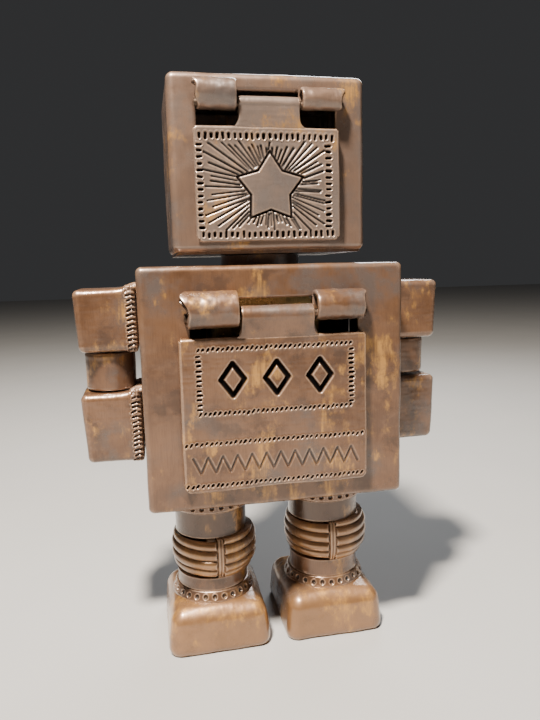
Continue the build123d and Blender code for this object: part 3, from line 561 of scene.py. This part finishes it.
# ---- pieces --------------------------------------------------------------------------------------
def piece(name, surface, body, material, *nodes):
    """Makes the Blender object of a surface and stands it in for its CAD nodes."""
    surface.compact()
    normals = surface.normals()
    bend = surface.bend(normals)
    mesh = bpy.data.meshes.new(name)
    mesh.from_pydata((surface.points * MM).tolist(), [], surface.quads.tolist() + surface.caps)
    mesh.polygons.foreach_set("use_smooth", [True] * len(mesh.polygons))
    masks = {
        # convex edges: partly rubbed wear, partly a painted highlight
        "wear_and_highlight": smoothstep(0.08, 0.85, bend),
        # painted shade: darker in hollows and in pressed tool marks, standing for the shade that falls there
        "painted_hollow_shade": np.clip(smoothstep(0.15, 1.1, -bend) + smoothstep(0.12, 0.75, surface.relief) * 0.55, 0, 1),
        "ink": np.clip(surface.ink, 0, 1),
    }
    for key, values in masks.items():
        mesh.attributes.new(key, "FLOAT", "POINT").data.foreach_set("value", values.astype(np.float32))
    mesh.materials.append(material)
    mesh.update()
    made = bpy.data.objects.new(name, mesh)
    SCENE.collection.objects.link(made)
    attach(made, body)
    if nodes:
        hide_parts(*nodes)
    return made


def curl(hinge, knuckle, seed):
    """An outer knuckle: a strip of the plate rolled out, down and back round the pin, its end torn."""
    low_x, high_x, rise, radius = knuckle
    z, thick = hinge.z + rise, 0.36 * radius
    angles = np.radians(np.linspace(34, 322, 80))
    swell = 1 + 0.035 * np.sin(2.3 * angles + seed)
    outer = np.stack([hinge.y + radius * swell * np.cos(angles), z + radius * swell * np.sin(angles)], axis=1)
    inside = radius - thick
    inner = np.stack([hinge.y + inside * np.cos(angles), z + inside * np.sin(angles)], axis=1)[::-1]
    outline = np.concatenate([outer, inner])
    turn = np.concatenate([angles, angles[::-1]])
    torn = 0.055 * radius * (1.5 * np.sin(turn * 1.5 + seed) + np.sin(turn * 4.1 + 2 * seed))
    flare = 0.26 * radius * np.exp(-(((turn - 2.1) / 0.45) ** 2))
    away = flare - 0.8 + torn
    ends = (low_x + 0.1, high_x + away) if low_x > 0 else (low_x - away, high_x - 0.1)
    surface = swept(outline, ends[0], ends[1], CARVED * 1.3)
    crumple = 0.16 * noise(surface.points, 2.4, 50 + seed)
    return surface.raise_by(handwork(surface.points, 40 + seed, 1.1) + crumple - 0.3)


def shell(node, hinge, seed, grow, radius, open_face, leg_places=()):
    """A hollow body: its front opening, rolled knuckles, holes for the legs and uneven skin."""
    low, high = node_box(node)
    low, high = low - (0, 0, grow[0]), high + (0, 0, grow[1])
    low[1] = hinge.front
    inner_low, inner_high = low + WALL, high - WALL
    slot_low, slot_high = hinge.tongue[0] - 0.6, hinge.tongue[1] + 0.6
    levels = (hinge.opening_low, hinge.z + 1.0, hinge.z + hinge.roll + 2.6)
    extra_x = (*hinge.opening, slot_low, slot_high)
    surface = rounded_block(low, high, radius, COARSE, (extra_x, (), levels))
    surface.raise_by(handwork(surface.points, seed) - 0.25)

    def is_open(centre):
        x, y, z = centre.T
        wide = (x > hinge.opening[0]) & (x < hinge.opening[1]) & (z > levels[0]) & (z < levels[1])
        slot = (x > slot_low) & (x < slot_high) & (z > levels[0]) & (z < levels[2])
        hole = (y < low[1] + 1.0) & (wide | slot)
        for leg_x, leg_y in leg_places:
            hole |= (z < low[2] + 1.0) & (np.hypot(x - leg_x, y - leg_y) < LEG_HOLE)
        axis, side = open_face
        level = centre[:, axis]
        reached = level > high[axis] - 1.0 if side > 0 else level < low[axis] + 1.0
        for other in {0, 1, 2} - {axis}:
            reached &= (centre[:, other] > inner_low[other]) & (centre[:, other] < inner_high[other])
        return hole | reached

    surface.hollow(WALL, is_open)
    for index, knuckle in enumerate(hinge.knuckles):
        surface = surface.joined(curl(hinge, knuckle, seed % 7 + 2 * index))
    return surface


def tongue(hinge, seed):
    """The door's own roll: it rises from the slab, swells over the pin and turns in at the back."""
    radius = hinge.roll
    over = np.radians(np.linspace(200, -58, 60))
    roll = [(hinge.y + radius * math.cos(a), hinge.z + radius * math.sin(a)) for a in over]
    foot = hinge.slab_top - 2.6
    outline = [(hinge.slab_back - 0.2, foot), (hinge.slab_front + 0.9, foot)]
    outline += [(hinge.slab_front + 0.2, hinge.slab_top - 0.6)]
    outline += roll + [(hinge.slab_back - 0.3, hinge.z - radius - 0.6)]
    outline = resampled(outline, CARVED * 1.2)
    spread = 2.0 * np.exp(-np.maximum(outline[:, 1] - hinge.slab_top + 0.5, 0) / 1.0)
    surface = swept(outline, hinge.tongue[0] + 0.2 - spread, hinge.tongue[1] - 0.2 + spread, CARVED * 1.2)
    return surface.raise_by(handwork(surface.points, seed, 0.9) - 0.1)


def round_corner(surface, corner, radius):
    """Rounds one corner of a plate as seen from the front; radius is signed towards the plate's middle."""
    centre = np.asarray(corner, float) + np.asarray(radius, float)
    out = (centre - surface.points[:, [0, 2]]) / np.asarray(radius, float)
    share = out / np.maximum(np.hypot(out[:, 0], out[:, 1]), 1e-9)[:, None] * out.max(axis=1)[:, None]
    inside = (out > 0).all(axis=1)
    surface.points[inside, 0] = centre[0] - share[inside, 0] * radius[0]
    surface.points[inside, 2] = centre[1] - share[inside, 1] * radius[1]


def slab(hinge, seed):
    """The door's plate."""
    low = np.array([hinge.low[0], hinge.slab_front, hinge.low[2] + 0.6])
    high = np.array([hinge.high[0], hinge.slab_back, hinge.slab_top])
    surface = rounded_block(low, high, 1.3, CARVED, plain=(1, 1))
    for x, inward in ((low[0], 1), (high[0], -1)):
        round_corner(surface, (x, low[2]), (inward * 3.0, 3.0))
        round_corner(surface, (x, high[2]), (inward * 1.6, -1.6))
    waver = 0.35 * noise(surface.points, 24, seed + 9)
    front = smoothstep(high[1] - 0.5, high[1] - 2.5, surface.points[:, 1])
    return surface.raise_by(front * (0.8 * handwork(surface.points, seed) + waver) - 0.2)


def front_marks(surface):
    """A mark sheet over the faces that look forward."""
    normals = surface.normals()
    return Marks(surface.points[:, 0], surface.points[:, 2], smoothstep(0.6, 0.9, -normals[:, 1]))


def star_points(u, v, outer, inner):
    """A plump five-pointed star, closed."""
    corners = []
    for n in range(11):
        radius = outer if n % 2 == 0 else inner
        angle = math.pi / 2 + n * math.pi / 5
        corners.append((u + radius * math.cos(angle), v + radius * math.sin(angle)))
    return corners


def star_reach(angle, outer, inner):
    """Distance from the star's centre to its outline in a direction."""
    turn = (angle - math.pi / 2) % (2 * math.pi / 5)
    turn = min(turn, 2 * math.pi / 5 - turn)
    tip, dip = np.array([outer, 0.0]), inner * np.array([math.cos(math.pi / 5), math.sin(math.pi / 5)])
    along = dip - tip
    across = math.cos(turn) * along[1] - math.sin(turn) * along[0]
    return float((tip[0] * along[1] - tip[1] * along[0]) / across)


def face_door():
    """The face: a star with rays inside a border of punched dashes."""
    rng = np.random.default_rng(11)
    surface = slab(FACE, 70)
    marks = front_marks(surface)
    left, right = FACE.low[0] + 2.1, FACE.high[0] - 5.0
    bottom, top = FACE.low[2] + 3.4, FACE.slab_top - 3.9
    for v in (bottom, top):
        marks.row((left + 0.4, v), (right + 0.6, v), 2.28, 2.7, 1.15, math.pi / 2, 1.0, rng, 1.0)
    for u in (left, right):
        marks.row((u, bottom + 2.6), (u, top - 2.0), 2.42, 2.5, 1.2, math.pi / 2, 1.0, rng, 1.0)
    star_u, star_v, outer, inner = (left + right) / 2 + 2.0, (bottom + top) / 2 - 0.9, 14.0, 8.3
    for index in range(64):
        angle = 2 * math.pi * (index + rng.uniform(-0.25, 0.25)) / 64
        start = star_reach(angle, outer, inner) + rng.uniform(0.5, 1.6)
        room_u = right - 1.8 - star_u if math.cos(angle) > 0 else star_u - left - 1.8
        room_v = top - 1.8 - star_v if math.sin(angle) > 0 else star_v - bottom - 1.8
        reach_u = room_u / max(abs(math.cos(angle)), 1e-6)
        reach_v = room_v / max(abs(math.sin(angle)), 1e-6)
        end = min(reach_u, reach_v) + rng.uniform(-3.2, 0.6)
        if end - start < 1.2:
            continue
        sway = rng.normal(0, 0.02)
        ends = []
        for r, turn in ((start, angle), (end, angle + sway)):
            ends.append((star_u + r * math.cos(turn), star_v + r * math.sin(turn)))
        marks.line(ends, rng.uniform(0.75, 1.05), rng.uniform(0.55, 0.85), 0.35)
    marks.line(star_points(star_u, star_v, outer, inner), 0.95, 0.9, 0.85)
    apply_marks(surface, marks)
    surface = surface.joined(tongue(FACE, 77))
    piece("face_door_slab", surface, "face_door", FACE_SKIN, "face_door")


def lozenge(u, v, wide, tall):
    return [(u - wide / 2, v), (u, v + tall / 2), (u + wide / 2, v), (u, v - tall / 2), (u - wide / 2, v)]


def chest_door():
    """The chest: a stitched panel with three dark lozenges, and a zigzag between two stitched rows."""
    rng = np.random.default_rng(23)
    surface = slab(CHEST, 80)
    marks = front_marks(surface)
    left, right = CHEST.low[0] + 7.6, CHEST.high[0] - 7.0
    top, bottom = CHEST.slab_top - 4.6, CHEST.slab_top - 30.4
    lean = math.radians(58)
    for v in (bottom, top):
        marks.row((left, v), (right, v), 1.95, 1.75, 0.95, lean, 0.85, rng, 0.85)
    for u in (left, right):
        marks.row((u, bottom + 1.8), (u, top - 1.6), 1.95, 2.3, 1.0, math.pi / 2, 0.9, rng, 0.95)
    for v in (CHEST.low[2] + 20.9, CHEST.low[2] + 3.6):
        marks.row((CHEST.low[0] + 1.6, v), (CHEST.high[0] - 2.0, v), 1.98, 1.7, 0.95, lean, 0.85, rng, 0.8)
    middle_u, middle_v = (left + right) / 2, (top + bottom) / 2 + 0.4
    for offset in (-18, 0, 18):
        marks.line(lozenge(middle_u + offset, middle_v, 9.5, 13.0), 2.0, 1.2, 1.0)
    zig_low, zig_high, pitch = CHEST.low[2] + 9.0, CHEST.low[2] + 15.4, 6.0
    peaks = np.arange(left - 3.6, right + 3.6, pitch / 2)
    zigzag = [(u, zig_low if n % 2 else zig_high) for n, u in enumerate(peaks)]
    marks.line(zigzag, 0.95, 0.5, 0.12)
    apply_marks(surface, marks)
    surface = surface.joined(tongue(CHEST, 87))
    piece("chest_door_slab", surface, "chest_door", DOOR_SKIN, "chest_door")


LIFT = 2.2  # the lower arm reaches this much higher than the plain block under the drum


def arm(side, node, seed):
    """A thick block worked onto the torso's side with a stitched seam round its root."""
    low, high = node_box(node)
    is_lower = "lower" in node
    low, high = low + (0, 0, 1.2 * is_lower), high + (0, 0, LIFT * is_lower)
    root = low[0] if side > 0 else high[0]
    surface = rounded_block(low, high, 3.0, CARVED)
    points = surface.points
    fallen = (high[2] - points[:, 2]) / (high[2] - low[2])
    points[:, 0] = root + (points[:, 0] - root) * (0.995 - 0.025 * is_lower - 0.055 * fallen)
    from_root = np.abs(points[:, 0] - root)
    normals = surface.normals()
    up, down, level = normals[:, 2], -normals[:, 2], np.abs(normals[:, 1])
    flare = 4.6 * smoothstep(0.3, 0.9, up) + 0.9 * smoothstep(0.3, 0.9, down)
    flare += 0.5 * smoothstep(0.5, 0.9, level)
    surface.raise_by(handwork(points, seed) + flare * np.exp(-from_root / 2.6) - 0.3)
    rng = np.random.default_rng(seed)
    points, normals = surface.points, surface.normals()
    for axis, along in ((1, 2), (2, 1)):
        for sign in (-1, 1):
            marks = Marks(points[:, 0], points[:, along], smoothstep(0.45, 0.8, sign * normals[:, axis]))
            span = (points[:, along].min() + 1.2, points[:, along].max() - 1.0)
            for distance, lean in ((1.35, 0.45), (3.75, -0.40)):
                u = root + side * distance
                turn = math.pi / 2 + lean * side
                marks.row((u, span[0]), (u, span[1]), 2.1, 2.5, 1.0, turn, 0.9, rng, 0.0)
            surface.raise_by(marks.height() + 0.12 * (marks.lip > 0.05), marks.depth * 0.55)
    piece(node + "_block", surface, "torso", LIMB_SKIN, node)


def elbow(side, node):
    low, high = node_box(node)
    low[2] += LIFT
    x, y = (low[0] + high[0]) / 2, (low[1] + high[1]) / 2
    radius, bore = (high[0] - low[0]) / 2, 2.1
    profile = [(bore, low[2]), (radius - 1.2, low[2]), (radius - 0.3, low[2] + 0.4), (radius, low[2] + 1.4)]
    profile += [(radius, high[2] - 1.4), (radius - 0.3, high[2] - 0.4)]
    profile += [(radius - 1.2, high[2]), (bore, high[2])]
    surface = turned(resampled(profile, FINE), x, y, FINE)
    surface.raise_by(handwork(surface.points, 120 + side, 0.8) - 0.2)
    piece(node + "_roller", surface, node.replace("_drum", ""), LIMB_SKIN, node)


# ---- legs ----------------------------------------------------------------------------------------
LEG_BORE = 12.0
LEG_HOLE = 18.4  # radius of the hole in the torso skin's floor round each leg
DIMPLES = 27  # round each ring


def leg_axis(name):
    low, high = node_box(name + "_ankle_tube")
    return (low[0] + high[0]) / 2, (low[1] + high[1]) / 2


def foot(name, x, y, seed):
    """A soft pillow of a foot, narrower at the top, standing flat."""
    low, high = node_box(name + "_foot")
    low, high = low - (0.7, 2.2, 0), high + (0.7, 0, 0)
    low[2] = -2.6
    surface = rounded_block(low, high, 6.2, COARSE * 0.6)
    points = surface.points
    rise = np.clip(points[:, 2] / high[2], 0, 1)
    squeeze = 1 - 0.10 * rise**1.7
    points[:, 0] = x + (points[:, 0] - x) * squeeze
    points[:, 1] = y + (points[:, 1] - y) * squeeze
    reach = np.hypot(points[:, 0] - x, points[:, 1] - y)
    dome = smoothstep(27, 14, reach) * smoothstep(0.85, 1.0, rise) * 1.0
    surface.raise_by(handwork(points, seed, 1.7) + dome - 0.45)
    surface.points[:, 2] = np.maximum(surface.points[:, 2], 0.25)
    # the foot skin's lighter tint is painted light, standing for the lamp's beam on the feet
    piece(name + "_foot_pillow", surface, name + "_leg", LIT_FOOT_SKIN, name + "_foot")


def collar(name, node, x, y, profile, dimple_v, count, seed):
    """A ring with a row of round dimples punched round it."""
    surface = turned(resampled(profile, CARVED), x, y, CARVED)
    points = surface.points
    angle = np.arctan2(points[:, 1] - y, points[:, 0] - x)
    reach = np.hypot(points[:, 0] - x, points[:, 1] - y)
    away = np.stack([np.cos(angle), np.sin(angle)], axis=1)
    outward = smoothstep(0.2, 0.5, (surface.normals()[:, :2] * away).sum(axis=1))
    marks = Marks(angle * reach.max(), points[:, 2], outward)
    rng = np.random.default_rng(seed)
    for n in range(count):
        u = (2 * math.pi * (n + 0.5) / count - math.pi) * reach.max()
        marks.dash(u + rng.normal(0, 0.12), dimple_v + rng.normal(0, 0.10), 2.1, 1.9, 0, 0.9, 0.10)
    surface.raise_by(handwork(points, seed, 0.5) + marks.height(), marks.depth * 0.8)
    surface.ink = marks.ink
    piece(name, surface, node.split("_")[0] + "_leg", LIMB_SKIN, node)


def bellows(name, x, y, seed, slip, strip_at):
    """Four soft ribs on a barrel, crossed in front by a strip of two beads."""
    low, high = node_box(name + "_knee_bellows")
    low[2], high[2] = low[2] - slip, high[2] - slip
    radius, count = (high[0] - low[0]) / 2 + 0.7, 4
    heights = np.linspace(low[2], high[2], int((high[2] - low[2]) / (CARVED * 0.8)))
    across = (heights - low[2]) / (high[2] - low[2])
    barrel = radius - 0.2 - 2.6 * np.abs(2 * across - 1.10) ** 2.8
    profile = [(LEG_BORE, low[2]), *zip(barrel, heights), (LEG_BORE, high[2])]
    surface = turned(profile, x, y, CARVED)
    points = surface.points
    angle = np.arctan2(points[:, 1] - y, points[:, 0] - x)
    outer = smoothstep(LEG_BORE + 1.5, LEG_BORE + 3.5, np.hypot(points[:, 0] - x, points[:, 1] - y))
    from_strip = (np.mod(angle + math.pi / 2 + math.pi, 2 * math.pi) - math.pi) * radius - strip_at
    beside = 0.10 * np.tanh(from_strip / 0.6)
    smile = 0.07 * np.cos(angle + math.pi / 2) + 0.02 * np.sin(2 * angle + seed)
    share = (points[:, 2] - low[2]) / (high[2] - low[2]) + smile
    groove = np.abs(np.sin(np.pi * (share * count + beside * count * 0.5))) ** 0.42
    strip = 1 - smoothstep(1.5, 2.0, np.abs(from_strip))
    beads = 0.45 * np.exp(-(((np.abs(from_strip) - 0.75) / 0.45) ** 2))
    edge = 0.9 * np.exp(-(((np.abs(from_strip) - 1.75) / 0.35) ** 2))
    depth = outer * np.maximum((1 - groove) * 1.75 * (1 - strip), edge) + outer * strip * 0.35
    points[:, 0] += 1.2 * outer
    surface.raise_by(handwork(points, seed, 0.7) - depth + outer * beads, depth * 0.20)
    # the rib skin is rubbed gold, lightened further by a tint of painted light
    piece(name + "_knee_ribs", surface, name + "_leg", RUBBED_LIT_RIB_SKIN, name + "_knee_bellows")


def tube(name, node, x, y, trim, lip, seed, skin):
    """A plain tube between its neighbours; trim moves its lower and upper end, lip flares the lower one."""
    low, high = node_box(node)
    low, high = low + (0, 0, trim[0]), high + (0, 0, trim[1])
    radius = (high[0] - low[0]) / 2
    profile = [(LEG_BORE, low[2]), (radius + lip, low[2]), (radius, low[2] + 1.2), (radius, high[2] - 1.0)]
    profile += [(radius + lip * 0.4, high[2]), (LEG_BORE, high[2])]
    surface = turned(resampled(profile, FINE), x, y, FINE)
    surface.raise_by(handwork(surface.points, seed, 0.7) - 0.1)
    piece(name, surface, node.split("_")[0] + "_leg", skin, node)


def leg(name, seed, slip, strip_at):
    x, y = leg_axis(name)
    foot(name, x, y, seed)
    low, high = node_box(name + "_foot_ring")
    radius = (high[0] - low[0]) / 2
    sloped = [(LEG_BORE, low[2] - 0.6), (radius + 0.3, low[2] - 0.6), (radius + 0.35, low[2] + 0.5)]
    sloped += [(radius - 0.1, low[2] + 1.1), (radius - 1.0, high[2] - 1.1), (radius - 1.5, high[2] - 0.1)]
    sloped += [(radius - 2.2, high[2] + 0.1), (LEG_BORE, high[2])]
    middle = (low[2] + high[2]) / 2 + 0.1
    collar(name + "_foot_collar", name + "_foot_ring", x, y, sloped, middle, DIMPLES, seed + 1)
    tube(name + "_ankle", name + "_ankle_tube", x, y, (0, -slip), 0.2, seed + 2, LIMB_SKIN)
    bellows(name, x, y, seed + 3, slip, strip_at)
    # the thigh tube's dark skin is painted shade, standing for the torso's shadow over it
    tube(name + "_thigh", name + "_thigh_tube", x, y, (-slip, 0), 0.1, seed + 4, SHADED_THIGH_SKIN)
    low, high = node_box(name + "_thigh_ring")
    radius = (high[0] - low[0]) / 2
    band = [(LEG_BORE, low[2]), (radius - 0.6, low[2]), (radius, low[2] + 0.7), (radius, high[2] - 0.7)]
    band += [(radius - 0.6, high[2]), (LEG_BORE, high[2])]
    middle = (low[2] + high[2]) / 2
    collar(name + "_thigh_collar", name + "_thigh_ring", x, y, band, middle, DIMPLES, seed + 5)


# ---- the whole robot -----------------------------------------------------------------------------
def back_cover():
    low, high = node_box("torso_back_cover")
    surface = rounded_block(low, high, 0.9, COARSE, plain=(1, -1))
    surface.raise_by(0.5 * handwork(surface.points, 210) - 0.15)
    piece("torso_back_plate", surface, "torso", BODY_SKIN, "torso_back_cover")


def paint_cad():
    """Every CAD node that still shows gets the material of its slot; the hinge pins get the dark pin metal
    instead.
    """
    slots = {part["node"]: part["material_slot"] for part in frame["record"]["subparts"]}
    for node, made in frame["nodes"].items():
        made.data.materials.clear()
        made.data.materials.append(PIN_METAL if node.endswith("hinge_pin") else BY_SLOT[slots[node]])


LEG_SET = ((1.2, -1.7), (3.3, 1.1))  # how low the ribs sit and how far off the middle their strip is


def build_robot():
    paint_cad()
    head = shell("head_shell", FACE, 31, (0.0, 0.0), 3.2, (2, -1))
    piece("head_skin", head, "head", HEAD_SKIN, "head_shell")
    leg_places = [leg_axis(name) for name, _ in SIDES]
    torso = shell("torso_shell", CHEST, 33, (2.2, 0.4), 2.6, (1, 1), leg_places)
    piece("torso_skin", torso, "torso", BODY_SKIN, "torso_shell")
    back_cover()
    face_door()
    chest_door()
    for index, (name, side) in enumerate(SIDES):
        arm(side, name + "_upper_arm", 130 + index)
        arm(side, name + "_lower_arm", 140 + index)
        elbow(side, name + "_elbow_drum")
        leg(name, 150 + 20 * index, *LEG_SET[index])


# ---- floor, light and camera ---------------------------------------------------------------------
def floor():
    mesh = bpy.data.meshes.new("floor")
    size = 4.0
    corners = [(-size, -size, 0), (size, -size, 0), (size, size, 0), (-size, size, 0)]
    mesh.from_pydata(corners, [], [(0, 1, 2, 3)])
    s = Shader("pale_floor")
    color = s.mix(s.noise(90, 2, 0.5), (0.36, 0.355, 0.345), (0.39, 0.385, 0.375))
    mesh.materials.append(s.finish(color, 0.75, 0.0))
    made = bpy.data.objects.new("floor", mesh)
    SCENE.collection.objects.link(made)


def area_light(name, place, target, size, power, color=(1, 1, 1)):
    data = bpy.data.lights.new(name, "AREA")
    data.shape, data.size, data.energy, data.color = "DISK", size, power, color
    made = bpy.data.objects.new(name, data)
    made.location = place
    toward = np.array(target) - np.array(place)
    up = np.array([0.0, 0.0, 1.0])
    back = -toward / np.linalg.norm(toward)
    right = np.cross(up, back)
    right /= np.linalg.norm(right)
    over = np.cross(back, right)
    turn = Matrix(np.stack([right, over, back], axis=1).tolist()).to_4x4()
    made.matrix_world = Matrix.Translation(place) @ turn
    SCENE.collection.objects.link(made)


def lights():
    world = bpy.data.worlds.new("studio")
    world.use_nodes = True
    world.node_tree.nodes["Background"].inputs["Color"].default_value = (0.86, 0.87, 0.90, 1)
    world.node_tree.nodes["Background"].inputs["Strength"].default_value = 0.04
    SCENE.world = world
    middle = (0.0, 0.0, 0.12)
    area_light("key", (-0.27, -0.38, 1.02), middle, 0.12, 54.0, (1.0, 0.91, 0.80))
    area_light("fill", (0.55, -0.45, 0.35), middle, 0.5, 0.30, (1.0, 0.95, 0.90))
    area_light("rim", (0.25, 0.55, 0.60), middle, 0.35, 4.0, (0.93, 0.96, 1.0))


CAMERA_PLACE = (-0.0502, -0.27945, 0.1672)
CAMERA_YAW, CAMERA_PITCH, CAMERA_ROLL = 0.196, 0.150, 0.025
LENS = 30.0


def camera():
    """Stands where the robot is seen from: a little to its right, at the height of its neck, close by."""
    yaw, pitch, roll = CAMERA_YAW, CAMERA_PITCH, CAMERA_ROLL
    right = np.array([math.cos(yaw), -math.sin(yaw), 0.0])
    level = np.array([math.sin(yaw), math.cos(yaw), 0.0])
    forward = level * math.cos(pitch) - np.array([0, 0, math.sin(pitch)])
    up = level * math.sin(pitch) + np.array([0, 0, math.cos(pitch)])
    x = right * math.cos(roll) - up * math.sin(roll)
    y = right * math.sin(roll) + up * math.cos(roll)
    data = bpy.data.cameras.new("camera")
    data.lens, data.sensor_width = LENS, 36.0
    data.clip_start = 0.01
    made = bpy.data.objects.new("camera", data)
    turn = Matrix(np.stack([x, y, -forward], axis=1).tolist()).to_4x4()
    made.matrix_world = Matrix.Translation(CAMERA_PLACE) @ turn
    SCENE.collection.objects.link(made)
    SCENE.camera = made


build_robot()
floor()
lights()
camera()
